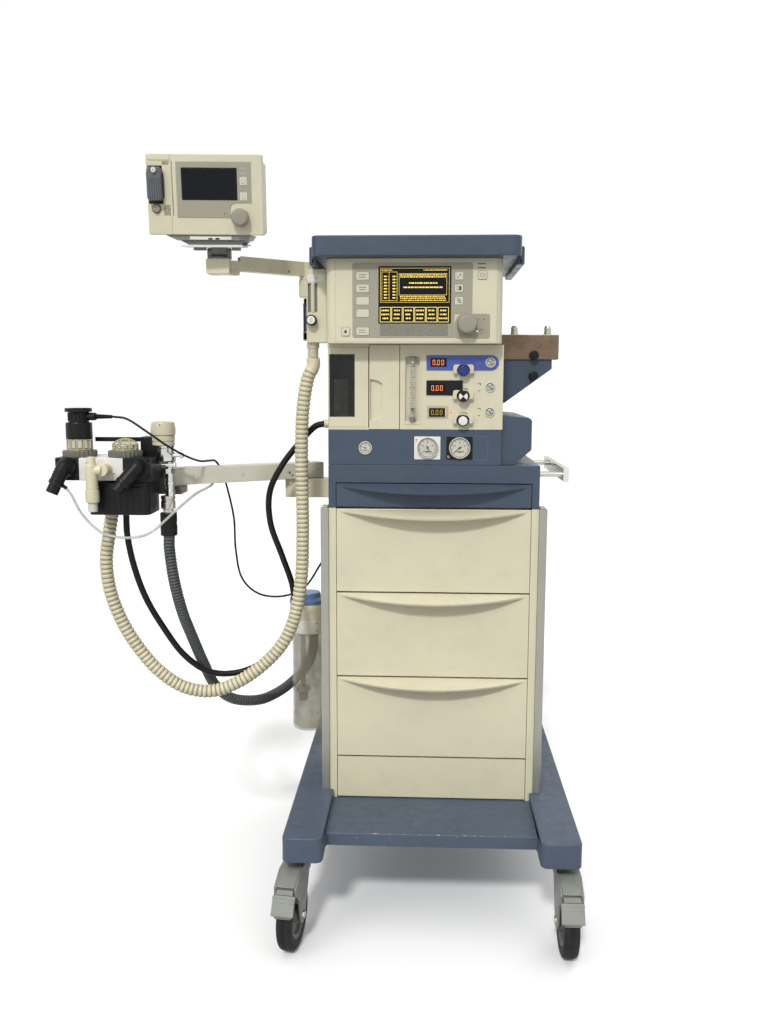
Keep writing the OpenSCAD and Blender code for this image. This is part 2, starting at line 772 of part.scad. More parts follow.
module monitor_case() {
    left = -111;
    right = 86;
    color(cream) tilted() difference() {
        union() {
            slab([case_front, case_front + 22]) round_rect([left, right], [29, 161], 3);
            slab([case_front + 20, 36]) round_rect([left + 3, right - 3], [31, 158], 8);
            slab([case_front - 1, case_front]) polygon([
                [-60, 58], [30, 58], [30, 72], [36, 78], [66, 78], [66, 148], [-60, 148]
            ]);
            box([-50, 41], [case_front - 1.4, case_front], [88, 137]);
            for (z = [111, 86]) box([47, 59], [case_front - 1.6, case_front], [z, z + 13]);
            slab([case_front + 4, 30]) polygon([
                [-84, 29], [-64, 19], [-44, 12], [44, 12], [58, 20], [64, 29]
            ]);
            box([-13.7, 13.7], [-8, 8], [0, 14]);
            rod([-13.7, 0, 0], [13.7, 0, 0], 8);
        }
        slab([case_front + 4, 32]) round_rect([left + 8, right - 8], [35, 153], 5);
        // bay of the water trap
        slab([case_front - 2, case_front + 30]) round_rect([-110.5, -70], [80, 141], 4);
        disc(monitor_knob_at[0], monitor_knob_at[1], [case_front - 3, case_front + 12], 3 + fit);
        rod([-30, 0, 0], [30, 0, 0], 4 + fit);
    }
    // back of the water trap's bay and its release button
    color(cream) tilted() {
        slab([case_front + 30, case_front + 33]) round_rect([-110, -69], [79, 142], 4);
        disc(-96, 72, [case_front - 5, case_front], 6.5);
    }
}

module monitor_knob() {
    color(foil_grey) tilted() knob(monitor_knob_at[0], monitor_knob_at[1], case_front, 15, 18, 3, 3.7);
}

module water_trap() {
    color(dark) tilted() {
        slab([case_front - 16, case_front + 28]) round_rect([-109, -83], [84, 139], 6);
        disc(-95, 133, [case_front - 21, case_front - 16], 4);
    }
}

// ---- breathing system ----

// Bar from its pivot to the round end that carries the block
module arm_bar() {
    d = arm_end - arm_pivot;
    translate([arm_pivot[0], arm_pivot[1], 0]) rotate([0, 0, atan2(d[1], d[0])])
        box([-38, norm(d)], [-15, 15], [arm_bottom, arm_top]);
    translate([arm_end[0], arm_end[1], 806]) cylinder(h = arm_top - 806, r = 17);
}

module breathing_arm() {
    color(cream) place() difference() {
        arm_bar();
        translate([arm_pivot[0], arm_pivot[1], arm_bottom - 1]) cylinder(h = 26, r = 10 + fit);
        d = arm_end - arm_pivot;
        translate([arm_pivot[0], arm_pivot[1], 0]) rotate([0, 0, atan2(d[1], d[0])])
            box([26, norm(d) - 24], [-11, 11], [arm_bottom - 1, arm_top - 4]);
    }
}

module breathing_block() {
    color("white") place() difference() {
        union() {
            box([-638, -556], [block_front, -10], [block_bottom, block_top]);
            box([-681, -636], [block_front, -40], [block_bottom, block_top]);
            box([-557, -508], [block_front, -20], [block_bottom - 3, block_top]);
            box([-540, -508], [-56, -16], [block_top - 1, 914]);
            box([-626, -538], [-50, -45], [905, 913]);
            box([-524, -474], [-22, 24], [803, 876]);
            for (p = [[-610, -20], [-586, -8]])
                translate([p[0], p[1], 790]) cylinder(h = 50, r = p[0] < -600 ? 12 : 7);
            box([-620, -560], [-34, 6], [824, block_top]);
        }
        arm_bar();
    }
}

// Elbow pipe: sleeve, then the 22 mm cone that a breathing hose pushes on, with its bore
module elbow(from, to, sleeve_r) {
    d = unit(to - from);
    difference() {
        union() {
            rod(from, to - 16 * d, sleeve_r);
            rod(from, to, port_r);
        }
        rod(to - 24 * d, to + d, 7.5);
    }
}

module hose_elbows() {
    color(dark) place() {
        rod([-659, block_front, 862], [-659, -122, 862], 18);
        elbow(left_elbow[0], left_elbow[1], 12.5);
        // barb of the sampling line
        rod([-661.5, -130, 832.5], [-653, -129, 826], 3.2);
        rod([-528, block_front, 862], [-528, -116, 862], 22);
        elbow(right_elbow[0], right_elbow[1], 13);
    }
    color(cream) place() {
        // bag elbow
        rod([-588, block_front, 859], [-588, -132, 859], 11);
        rod([-588, -132, 859], [-606, -132, 859], 9);
        translate([-606, -132, 808]) cylinder(h = 60, r = 10.5);
        translate([-606, -132, 868]) cylinder(h = 15, r = 7.5);
        translate([-606, -132, 802]) cylinder(h = 22, r = 12);
        translate([-606, -132, 785]) cylinder(h = 20, r = 8.5);
    }
}

// Adjustable relief valve, its chrome pipe and the scavenging outlet below
module relief_valve() {
    color(steel) place() {
        difference() {
            translate([relief_at[0], relief_at[1], 898]) cylinder(h = 19, r = 21);
            translate([relief_at[0], relief_at[1], 904]) cylinder(h = 14, r = 4 + fit);
        }
        translate([relief_at[0], relief_at[1], 866]) cylinder(h = 33, r = 13);
        translate([-489, relief_at[1] - 3, 800]) cylinder(h = 68, r = 5.5);
        translate([relief_at[0] + 6, relief_at[1], 780]) cylinder(h = 24, r = 13.5);
        translate([relief_at[0] + 6, relief_at[1], 771]) cylinder(h = 10, r = 10);
        translate([relief_at[0] + 6, relief_at[1], 730]) cylinder(h = 43, r = 15.5);
        box([-508, -484], [-46, -20], [866, 876]);
    }
}

module relief_knob() {
    color(cream) place() translate([relief_at[0], relief_at[1], 0]) {
        translate([0, 0, 917 + gap]) cylinder(h = 23.7, r = 22.5);
        translate([0, 0, 906]) cylinder(h = 13, r = 4);
    }
}

// Two check-valve domes under fluted ring nuts
module valve_domes() {
    color(clear) place() for (i = [0, 1]) translate([dome_x[i], dome_y, block_top]) {
        difference() {
            cylinder(h = 12, r = 30);
            for (k = [0:23]) rotate([0, 0, k * 15]) translate([30.5, 0, -1]) cylinder(h = 14, r = 1.6);
        }
        translate([0, 0, 12]) cylinder(h = i == 0 ? 20 : 10, r = 24);
        if (i == 1) intersection() {
            translate([0, 0, -4]) sphere(37);
            translate([0, 0, 22]) cylinder(h = 14, r = 24);
        }
    }
}

module oxygen_sensor() {
    top = block_top + 32;
    color(dark) place() {
        translate([dome_x[0], dome_y, top]) {
            cylinder(h = 30, r = 23.5);
            translate([0, 0, 30]) cylinder(h = 19, r = 18);
            translate([0, 0, 49]) cylinder(h = 7, r = 24);
        }
        rod([dome_x[0], dome_y, top + 41], [-612, -82, top + 41], 7);
        rod([-612, -82, top + 41], [-578, -90, 952], 4.5);
    }
}

module absorber_canister() {
    color(dark) place() prism([776, block_bottom - 3 - gap]) round_rect([-622, -511], [-110, -36], 10);
}

// ---- scavenger ----

module scavenger_jar() {
    color(clear) place() translate([jar_at[0], jar_at[1], 0]) {
        difference() {
            translate([0, 0, 272]) cylinder(h = 214, r = jar_r);
            translate([0, 0, 276]) cylinder(h = 216, r = jar_r - 3);
        }
    }
}

module scavenger_head() {
    color(cream) place() translate([jar_at[0], jar_at[1], 0]) {
        translate([0, 0, 486]) cylinder(h = 72, r = 42);
        translate([0, 0, 558]) cylinder(h = 12, r = 24);
        box([24, 63], [-22, 22], [500, 550]);
        // inner tube and its ring
        translate([-14, 0, 350]) cylinder(h = 137, r = 5);
        translate([-14, 0, 330]) cylinder(h = 21, r = 10);
        // rear port
        translate([0, 64, 486]) cylinder(h = 40, r = 12);
        box([-8, 8], [30, 60], [505, 521]);
    }
}

// ---- hoses and leads ----

module ventilator_hose() { color(cream) place() tube(vent_route, vent_hose_d, 12); }
module fresh_gas_hose() { color(dark) place() tube(gas_route, gas_hose_d, 10); }
module scavenging_hose() { color(dark) place() tube(scav_route, scav_hose_d, 12); }
module sensor_cable() { color(dark) place() tube(cable_route, 4, 8); }
module sampling_line() { color(clear) place() tube(sample_route, 5, 8); }

// ---- nodes ----

base_frame();
side_columns();
cabinet_shell();
cabinet_top();
gauge_housing();
pressure_gauges();
head_housing();
access_panel();
flow_panel();
flow_tube();
ventilator_cylinder();
control_housing();
control_panel();
top_shelf();
oxygen_flowmeter();
vaporizer_bracket();
vaporizer_bar();
equipment_rail();
arm_brackets();
scavenger_jar();
scavenger_head();
blue_drawer();
upper_drawer();
middle_drawer();
lower_drawer();
ventilator_door();
ventilator_piston();
front_left_fork();
front_right_fork();
rear_left_fork();
rear_right_fork();
front_left_wheel();
front_right_wheel();
rear_left_wheel();
rear_right_wheel();
left_brake_pedal();
right_brake_pedal();
blue_flow_knob();
black_flow_knob();
white_flow_knob();
auxiliary_knob();
control_knob();
monitor_arm();
monitor_swivel();
monitor_case();
monitor_knob();
water_trap();
breathing_arm();
breathing_block();
hose_elbows();
relief_valve();
valve_domes();
oxygen_sensor();
absorber_canister();
relief_knob();
ventilator_hose();
fresh_gas_hose();
scavenging_hose();
sensor_cable();
sampling_line();
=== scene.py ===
"""Looks of the anesthesia machine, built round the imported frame.

Shapes are written in machine millimetres: X from the cabinet's centre plane, Y from the
cabinet's front face, Z from the floor. TO_ROW takes them to the frame's metres.
"""

import math
import random

import bmesh
import bpy
from mathutils import Matrix, Vector


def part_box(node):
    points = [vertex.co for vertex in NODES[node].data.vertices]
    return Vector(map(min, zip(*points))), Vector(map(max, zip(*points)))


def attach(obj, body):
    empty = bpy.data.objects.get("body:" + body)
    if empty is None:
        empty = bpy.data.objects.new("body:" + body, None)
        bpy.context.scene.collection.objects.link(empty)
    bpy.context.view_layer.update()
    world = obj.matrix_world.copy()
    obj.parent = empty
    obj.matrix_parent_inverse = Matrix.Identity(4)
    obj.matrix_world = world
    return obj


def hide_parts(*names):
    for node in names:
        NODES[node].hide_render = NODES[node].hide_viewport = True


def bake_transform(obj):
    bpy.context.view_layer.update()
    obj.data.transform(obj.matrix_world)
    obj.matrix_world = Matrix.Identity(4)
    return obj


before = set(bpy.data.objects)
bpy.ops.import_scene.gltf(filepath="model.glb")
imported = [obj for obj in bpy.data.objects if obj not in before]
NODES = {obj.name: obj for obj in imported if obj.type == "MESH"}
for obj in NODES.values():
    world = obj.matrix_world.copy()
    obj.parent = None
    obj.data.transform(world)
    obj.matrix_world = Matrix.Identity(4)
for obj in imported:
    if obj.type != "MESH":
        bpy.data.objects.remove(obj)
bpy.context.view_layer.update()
rng = random.Random(7)

MM = 0.001
SHIFT = Vector((212, -116, 0))
TO_ROW = Matrix.Scale(MM, 4) @ Matrix.Translation(SHIFT)
SHARP = math.radians(38)  # edges sharper than this are bevelled or shaded hard
OUT = (0, -1, 0)  # out of the front, towards the user

# camera fitted to the photo
LENS = 33.55
CAMERA_AT = (-14.7, -1790.2, 1017.2)
CAMERA_TURN = (("Z", 2.52), ("X", 82.17), ("Z", 0.137))

FRONT = -34  # front face of the control head
WHEEL_RADIUS = 62.5
AXLE = (0, -35, WHEEL_RADIUS)  # in the caster's own frame
FLOW_KNOBS = (("blue_flow_knob", 1036, "navy", "navy_plastic"),
              ("black_flow_knob", 989, "black", "black_plastic"),
              ("white_flow_knob", 944, "black", "white_plastic"))
FLOW_KNOB_X = 53
SMALL_DIALS = (1051, 1006, 960)  # heights of the three dials beside the flow knobs
BLOCK_FRONT = -108  # front face of the breathing block
SENSOR_AT = (-645, -78, 0)  # foot of the left valve's axis, which the oxygen sensor sits on
DOME_AT = (-561, -78, 0)  # foot of the right valve's axis
RELIEF_AT = (-500, -45, 0)  # foot of the relief valve's axis
JAR_AT = (-262, 200, 0)  # foot of the scavenger's axis
MONITOR_TILT_AT = (-389, -40, 1245)  # tilt joint, the origin of the monitor's own frame
MONITOR_FACE = -62  # front of the monitor's case in that frame


def row(*p):
    """Machine millimetres to frame metres."""
    return TO_ROW @ Vector(p)


# ---- camera and light ----


def make_camera():
    data = bpy.data.cameras.new("camera")
    data.lens = LENS
    camera = bpy.data.objects.new("camera", data)
    bpy.context.scene.collection.objects.link(camera)
    turn = Matrix()
    for axis, angle in CAMERA_TURN:
        turn = turn @ Matrix.Rotation(math.radians(angle), 4, axis)
    camera.matrix_world = Matrix.Translation(row(*CAMERA_AT)) @ turn
    bpy.context.scene.camera = camera


def make_light(kind, name, energy, at, aim, **settings):
    data = bpy.data.lights.new(name, kind)
    data.energy = energy
    for key, value in settings.items():
        setattr(data, key, value)
    light = bpy.data.objects.new(name, data)
    bpy.context.scene.collection.objects.link(light)
    light.location = at
    light.rotation_mode = "QUATERNION"
    light.rotation_quaternion = (Vector(aim) - Vector(at)).to_track_quat("-Z", "Y")


def make_stage():
    scene = bpy.context.scene
    scene.view_settings.view_transform = "Standard"
    world = bpy.data.worlds.new("studio")
    world.use_nodes = True
    world.node_tree.nodes["Background"].inputs["Color"].default_value = (1, 1, 1, 1)
    world.node_tree.nodes["Background"].inputs["Strength"].default_value = 0.48
    scene.world = world
    middle = (0, 0, 0.8)
    make_light("SUN", "key", 1.85, (-0.5, -3.0, 3.5), middle, angle=math.radians(6))
    make_light("SUN", "overhead", 0.85, (0.2, -0.7, 4.0), middle, angle=math.radians(60))
    make_light("AREA", "softbox", 14, (-1.7, -2.3, 2.3), middle, size=1.3)
    make_light("AREA", "rim", 10, (2.0, 1.6, 2.2), middle, size=1.2)

    for name, material, profile in (
        ("studio_floor", "floor", [(0, 0), (3000, 0), (9000, 0)]),
        ("studio_wall", "backdrop", [(9000, -50), (9000, 9000)]),
    ):
        part = Piece(name).use(material)
        part.turned(profile, (-SHIFT.x, -SHIFT.y, 0), n=96)
        item = part.mesh()
        item.visible_diffuse = False
        item.visible_shadow = material == "floor"


# ---- materials ----

M = {}


def linear(rgb):
    return tuple((c / 255) ** 2.2 for c in rgb) + (1.0,)


class Nodes:
    """Short way to build a material's node tree."""

    def __init__(self, name, color, rough, metal):
        self.material = bpy.data.materials.new(name)
        self.material.use_nodes = True
        self.tree = self.material.node_tree
        self.shader = self.tree.nodes["Principled BSDF"]
        self.shader.inputs["Base Color"].default_value = color
        self.shader.inputs["Roughness"].default_value = rough
        self.shader.inputs["Metallic"].default_value = metal
        self.coords = self.add("ShaderNodeTexCoord")

    def add(self, kind, links=(), **values):
        node = self.tree.nodes.new(kind)
        for key, value in values.items():
            if key in node.inputs:
                node.inputs[key].default_value = value
            else:
                setattr(node, key, value)
        for socket, source in links:
            self.tree.links.new(source, node.inputs[socket])
        return node

    def noise(self, scale, detail=2.0, stretch=(1, 1, 1)):
        place = self.add(
            "ShaderNodeMapping", [("Vector", self.coords.outputs["Object"])], Scale=stretch
        )
        return self.add(
            "ShaderNodeTexNoise",
            [("Vector", place.outputs["Vector"])],
            Scale=scale,
            Detail=detail,
        ).outputs["Fac"]

    def remap(self, source, low, high, start=0.3, end=0.7):
        node = self.add("ShaderNodeMapRange", [("Value", source)])
        for i, value in enumerate((start, end, low, high)):
            node.inputs[i + 1].default_value = value
        return node.outputs["Result"]

    def blend(self, factor, a, b):
        node = self.add("ShaderNodeMix", data_type="RGBA")
        for socket, value in ((node.inputs[0], factor), (node.inputs[6], a), (node.inputs[7], b)):
            if isinstance(value, (tuple, float)):
                socket.default_value = value
            else:
                self.tree.links.new(value, socket)
        return node.outputs[2]

    def to(self, socket, source):
        self.tree.links.new(source, self.shader.inputs[socket])

    def bump(self, height, distance, strength=1.0):
        node = self.add(
            "ShaderNodeBump", [("Height", height)], Distance=distance, Strength=strength
        )
        self.to("Normal", node.outputs["Normal"])


def tinted(color, factor):
    return tuple(min(1.0, c * factor) for c in color[:3]) + (1.0,)


def finish_material(name, rgb, rough, metal=0.0, grain=(900, 0.06), tone=0.05, dirt=0.0,
                    brushed=None, chips=None, stretch=(1, 1, 1), specular=0.5):
    """Surface with colour drift, roughness drift, a fine relief and optional dirt and chips.

    grain is (scale, depth in millimetres), brushed a scale of the wear and chips is
    (threshold, scale, colour)."""
    color = linear(rgb)
    n = Nodes(name, color, rough, metal)
    drift = n.noise(9, 3)
    base = n.blend(n.remap(drift, 0, 1), tinted(color, 1 - tone), tinted(color, 1 + tone))
    if dirt:
        smudge = n.remap(n.noise(38, 5), 0, dirt, 0.52, 0.72)
        base = n.blend(smudge, base, tinted(color, 0.62))
    if chips:
        low, scale, chip = chips
        spots = n.remap(n.noise(scale, 4), 0, 1, low, low + 0.02)
        base = n.blend(spots, base, linear(chip))
    n.to("Base Color", base)
    wear = n.noise(brushed or 55, 3, stretch)
    spread = 0.16 if brushed else 0.10
    n.to("Roughness", n.remap(wear, max(0.02, rough - spread), min(1, rough + spread)))
    n.bump(n.noise(grain[0], 2, stretch), grain[1] * MM)
    n.shader.inputs["Specular IOR Level"].default_value = specular
    M[name] = n.material


def glowing(name, rgb, strength):
    n = Nodes(name, linear(rgb), 0.4, 0.0)
    flicker = n.remap(n.noise(700, 2), strength * 0.8, strength * 1.15)
    n.shader.inputs["Emission Color"].default_value = linear(rgb)
    n.to("Emission Strength", flicker)
    M[name] = n.material


def clear(name, rgb, alpha, rough=0.08, streak=(1, 1, 1)):
    n = Nodes(name, linear(rgb), rough, 0.0)
    n.shader.inputs["IOR"].default_value = 1.5
    haze = n.noise(60, 4, streak)
    n.to("Alpha", n.remap(haze, alpha * 0.8, alpha * 1.25))
    n.to("Roughness", n.remap(n.noise(140, 3), rough * 0.6, rough * 2.0))
    n.to("Base Color", n.blend(n.remap(haze, 0, 1), linear(rgb), tinted(linear(rgb), 0.8)))
    M[name] = n.material


# colour, roughness, grain scale, grain depth in millimetres, tone, dirt, specular level
SURFACES = {
    "cream": ((206, 200, 173), 0.42, 1300, 0.05, 0.03, 0.12, 0.5),
    "cream_paint": ((206, 200, 171), 0.38, 520, 0.08, 0.03, 0.14, 0.5),
    "cream_dark": ((176, 170, 142), 0.5, 1100, 0.08, 0.05, 0.3, 0.5),
    "blue": ((65, 77, 92), 0.38, 620, 0.09, 0.05, 0.18, 0.35),
    "blue_strip": ((66, 84, 160), 0.3, 900, 0.03, 0.05, 0, 0.5),
    "foil": ((152, 147, 130), 0.5, 1500, 0.08, 0.02, 0.08, 0.5),
    "foil_light": ((200, 195, 172), 0.5, 1500, 0.06, 0.02, 0, 0.5),
    "key_grey": ((120, 117, 106), 0.45, 1500, 0.08, 0.03, 0, 0.5),
    "key_white": ((205, 203, 190), 0.4, 1200, 0.05, 0.03, 0, 0.5),
    "knob_grey": ((142, 137, 122), 0.5, 1200, 0.1, 0.05, 0.2, 0.5),
    "caster": ((124, 126, 120), 0.42, 900, 0.08, 0.07, 0.45, 0.5),
    "tyre": ((32, 32, 31), 0.72, 700, 0.25, 0.2, 0.3, 0.3),
    "hub": ((104, 106, 104), 0.5, 800, 0.1, 0.1, 0.4, 0.5),
    "black": ((15, 16, 16), 0.42, 1000, 0.09, 0.15, 0.2, 0.25),
    # painted shade, laid in gaps and slots
    "painted_gap_shade": ((14, 14, 15), 0.7, 900, 0.1, 0.1, 0, 0.5),
    "dial_face": ((196, 194, 180), 0.45, 900, 0.03, 0.03, 0.1, 0.5),
    "white": ((222, 221, 214), 0.38, 900, 0.05, 0.02, 0.22, 0.5),
    "navy": ((24, 38, 110), 0.3, 1000, 0.05, 0.08, 0, 0.5),
    "hose_cream": ((208, 200, 168), 0.46, 800, 0.1, 0.05, 0.3, 0.5),
    "hose_black": ((14, 15, 14), 0.45, 900, 0.1, 0.15, 0.15, 0.25),
    "hose_grey": ((74, 79, 78), 0.5, 800, 0.12, 0.08, 0.3, 0.5),
    # darker copies of the hose colours: painted shade in the grooves between the ribs
    "hose_cream_painted_groove_shade": ((150, 144, 122), 0.6, 800, 0.1, 0.08, 0.3, 0.5),
    "hose_grey_painted_groove_shade": ((34, 37, 37), 0.6, 800, 0.1, 0.1, 0.2, 0.5),
    "trap": ((84, 86, 92), 0.4, 900, 0.09, 0.08, 0.25, 0.5),
    "ring": ((98, 98, 90), 0.45, 900, 0.1, 0.08, 0.35, 0.5),
    "cage": ((176, 170, 132), 0.35, 900, 0.06, 0.06, 0.3, 0.5),
    "absorber": ((13, 14, 14), 0.42, 900, 0.08, 0.15, 0.2, 0.25),
    "apl": ((196, 190, 162), 0.4, 900, 0.06, 0.05, 0.2, 0.5),
    "screen": ((12, 16, 24), 0.2, 400, 0.01, 0.1, 0, 0.2),
    "ink": ((52, 52, 54), 0.5, 900, 0.03, 0.05, 0, 0.5),
    "print_light": ((168, 174, 182), 0.5, 900, 0.03, 0.04, 0, 0.5),
    "label_blue": ((84, 108, 148), 0.35, 900, 0.04, 0.06, 0, 0.5),
    # painted shade for the inside of the ventilator bay
    "painted_shade_inside": ((58, 56, 50), 0.6, 600, 0.1, 0.2, 0, 0.5),
    "floor": ((250, 250, 249), 0.75, 60, 0.2, 0.004, 0, 0.5),
    "backdrop": ((0, 0, 0), 1.0, 900, 0.06, 0, 0, 0.5),
}


def make_materials():
    for name, (rgb, rough, scale, depth, tone, dirt, specular) in SURFACES.items():
        finish_material(name, rgb, rough, 0.0, (scale, depth), tone, dirt, specular=specular)
    finish_material("base_blue", (71, 82, 98), 0.42, 0.0, (460, 0.12), 0.07, 0.25,
                    chips=(0.735, 170, (205, 205, 198)), specular=0.35)
    finish_material("arm_paint", (208, 204, 186), 0.4, 0.0, (520, 0.08), 0.04, 0.2,
                    chips=(0.70, 60, (92, 92, 88)))
    finish_material("aluminium", (152, 152, 144), 0.4, 0.85, (300, 0.04), 0.05,
                    brushed=240, stretch=(1, 1, 0.03))
    finish_material("steel", (190, 188, 180), 0.28, 1.0, (500, 0.04), 0.06,
                    brushed=420, stretch=(0.05, 1, 1))
    finish_material("chrome", (205, 205, 202), 0.12, 1.0, (300, 0.02), 0.05, 0.2)
    finish_material("bar_metal", (118, 99, 82), 0.36, 0.75, (420, 0.1), 0.14, 0.45,
                    brushed=380, stretch=(0.06, 1, 1))
    shader = M["backdrop"].node_tree.nodes["Principled BSDF"]
    shader.inputs["Emission Color"].default_value = (1, 1, 1, 1)
    shader.inputs["Emission Strength"].default_value = 1.0
    glowing("amber", (224, 196, 92), 0.7)
    glowing("amber_dim", (150, 128, 44), 0.9)
    glowing("led_orange", (236, 138, 76), 0.75)
    glowing("led_red", (255, 70, 84), 1.3)
    glowing("led_yellow", (255, 214, 84), 1.2)
    clear("smoky", (176, 172, 150), 0.42)
    clear("pane", (26, 27, 27), 0.55, 0.06)
    clear("glass", (222, 222, 206), 0.12, 0.05)
    clear("dome", (196, 190, 150), 0.40, 0.07)
    clear("tube_clear", (206, 206, 200), 0.62, 0.2)


# ---- shapes ----


def arc(x, z, r, start, end, n=8):
    """Points of an arc, angles in degrees."""
    steps = [math.radians(start + (end - start) * i / n) for i in range(n + 1)]
    return [(x + r * math.cos(a), z + r * math.sin(a)) for a in steps]


def rounded(x, z, r, n=6):
    """Outline of a rectangle with round corners."""
    return (
        arc(x[1] - r, z[1] - r, r, 0, 90, n)
        + arc(x[0] + r, z[1] - r, r, 90, 180, n)
        + arc(x[0] + r, z[0] + r, r, 180, 270, n)
        + arc(x[1] - r, z[0] + r, r, 270, 360, n)
    )


def smooth_path(points, step):
    """Catmull-Rom curve through the points, cut into steps of about that many millimetres."""
    pts = [Vector(p) for p in points]
    pts = [2 * pts[0] - pts[1], *pts, 2 * pts[-1] - pts[-2]]
    dense = []
    for i in range(1, len(pts) - 2):
        a, b, c, d = pts[i - 1 : i + 3]
        count = max(4, int((c - b).length / 2))
        for k in range(count):
            t = k / count
            dense.append(
                0.5
                * (
                    2 * b
                    + (c - a) * t
                    + (2 * a - 5 * b + 4 * c - d) * t * t
                    + (3 * b - a - 3 * c + d) * t**3
                )
            )
    dense.append(pts[-2])
    lengths = [0.0]
    for a, b in zip(dense, dense[1:]):
        lengths.append(lengths[-1] + (b - a).length)
    count = max(2, round(lengths[-1] / step))
    out, j = [], 0
    for k in range(count + 1):
        want = lengths[-1] * k / count
        while j < len(lengths) - 2 and lengths[j + 1] < want:
            j += 1
        part = (want - lengths[j]) / max(1e-9, lengths[j + 1] - lengths[j])
        out.append(dense[j].lerp(dense[j + 1], part))
    return out, lengths[-1]


def sharp_edges(edges, angle):
    return [e for e in edges if len(e.link_faces) == 2 and e.calc_face_angle(0) > angle]


def round_edges(bm, edges, angle, r, segments, clamp):
    """Bevels the sharp ones among the edges and returns the new faces."""
    return bmesh.ops.bevel(
        bm, geom=sharp_edges(edges, angle), offset=r, offset_type="OFFSET", segments=segments,
        profile=0.5, affect="EDGES", clamp_overlap=clamp,
    )["faces"]


def around(x, y, r, degrees):
    """Point at a distance and an angle from a centre."""
    a = math.radians(degrees)
    return x + r * math.cos(a), y + r * math.sin(a)


class Piece:
    """One visible piece: shapes in machine millimetres, each with its material."""

    def __init__(self, name, body=None, slot=None, at=None):
        self.name, self.body, self.slot = name, body, slot
        self.bm = bmesh.new()
        self.at = at or Matrix()
        self.materials, self.index = [], 0

    def use(self, name):
        if M[name] not in self.materials:
            self.materials.append(M[name])
        self.index = self.materials.index(M[name])
        return self

    def faces(self, points, faces):
        verts = [self.bm.verts.new(self.at @ Vector(p)) for p in points]
        made = [self.bm.faces.new([verts[i] for i in f]) for f in faces]
        for face in made:
            face.material_index = self.index
        return made

    def _bevel(self, made, r):
        if r <= 0:
            return
        edges = dict.fromkeys(e for f in made for e in f.edges)
        for f in round_edges(self.bm, edges, SHARP, r, 2, True):
            f.material_index = self.index

    def _extruded(self, low, high, r):
        n = len(low)
        made = self.faces(
            low + high,
            [tuple(range(n - 1, -1, -1)), tuple(range(n, 2 * n))]
            + [(i, (i + 1) % n, n + (i + 1) % n, n + i) for i in range(n)],
        )
        bmesh.ops.recalc_face_normals(self.bm, faces=made)
        self._bevel(made, r)

    def prism(self, outline, z, r=0.5):
        """Outline in X and Y, raised between two heights."""
        self._extruded([(x, y, z[0]) for x, y in outline], [(x, y, z[1]) for x, y in outline], r)
        return self

    def slab(self, outline, y, r=0.4):
        """Outline in X and Z, deep between two Y values."""
        self._extruded([(x, y[0], z) for x, z in outline], [(x, y[1], z) for x, z in outline], r)
        return self

    def plate(self, outline, x, r=0.4):
        """Outline in Y and Z, wide between two X values."""
        self._extruded([(x[0], y, z) for y, z in outline], [(x[1], y, z) for y, z in outline], r)
        return self

    def box(self, x, y, z, r=0.5):
        return self.prism([(x[0], y[0]), (x[1], y[0]), (x[1], y[1]), (x[0], y[1])], z, r)

    def turned(self, profile, at, axis=(0, 0, 1), n=40, flutes=None):
        """Profile of (radius, height) turned about an axis through a point.

        flutes is (count, depth, low, high): the radius waves between those heights."""
        turn = Vector(axis).to_track_quat("Z", "Y").to_matrix().to_4x4()
        base = Matrix.Translation(Vector(at)) @ turn
        points, faces, rings = [], [], []
        for r, h in profile:
            if r < 1e-6:
                rings.append([len(points)])
                points.append(base @ Vector((0, 0, h)))
                continue
            rings.append(list(range(len(points), len(points) + n)))
            for k in range(n):
                a = 2 * math.pi * k / n
                rr = r
                if flutes and flutes[2] <= h <= flutes[3]:
                    rr += flutes[1] * math.cos(flutes[0] * a)
                points.append(base @ Vector((rr * math.cos(a), rr * math.sin(a), h)))
        for a, b in zip(rings, rings[1:]):
            for k in range(n):
                m = (k + 1) % n
                if len(a) == 1 and len(b) == 1:
                    continue
                if len(a) == 1:
                    faces.append((a[0], b[m], b[k]))
                elif len(b) == 1:
                    faces.append((a[k], a[m], b[0]))
                else:
                    faces.append((a[k], a[m], b[m], b[k]))
        made = self.faces(points, faces)
        bmesh.ops.recalc_face_normals(self.bm, faces=made)
        return self

    def rod(self, a, b, r, soft=0.5, n=24):
        """Round bar between two points, with its ends rounded off."""
        a, b = Vector(a), Vector(b)
        h = (b - a).length
        soft = min(soft, r * 0.45, h * 0.3)
        return self.turned(
            [(0, 0), (r - soft, 0), (r - soft * 0.3, soft * 0.3), (r, soft), (r, h - soft),
             (r - soft * 0.3, h - soft * 0.3), (r - soft, h), (0, h)],
            a, b - a, n,
        )

    def swept(self, path, radii, n):
        """Tube along a path, one radius per point, without twist."""
        side = None
        rings = []
        for i, p in enumerate(path):
            t = (path[min(i + 1, len(path) - 1)] - path[max(i - 1, 0)]).normalized()
            if side is None:
                side = t.orthogonal().normalized()
            side = (side - t * side.dot(t)).normalized()
            other = t.cross(side)
            rings.append([
                p + radii[i] * (math.cos(2 * math.pi * k / n) * side
                                + math.sin(2 * math.pi * k / n) * other)
                for k in range(n)
            ])
        faces = [
            (i * n + k, i * n + (k + 1) % n, (i + 1) * n + (k + 1) % n, (i + 1) * n + k)
            for i in range(len(path) - 1)
            for k in range(n)
        ]
        faces.append(tuple(range(n - 1, -1, -1)))
        faces.append(tuple((len(path) - 1) * n + k for k in range(n)))
        made = self.faces([v for r in rings for v in r], faces)
        bmesh.ops.recalc_face_normals(self.bm, faces=made)
        return made

    def screw(self, at, axis, r):
        """Screw head with a round recess."""
        profile = [(0, -0.6), (r, -0.6), (r, 0.5), (r * 0.86, 1.1), (r * 0.5, 1.3),
                   (r * 0.42, 0.5), (0, 0.4)]
        return self.turned(profile, at, axis, 24)

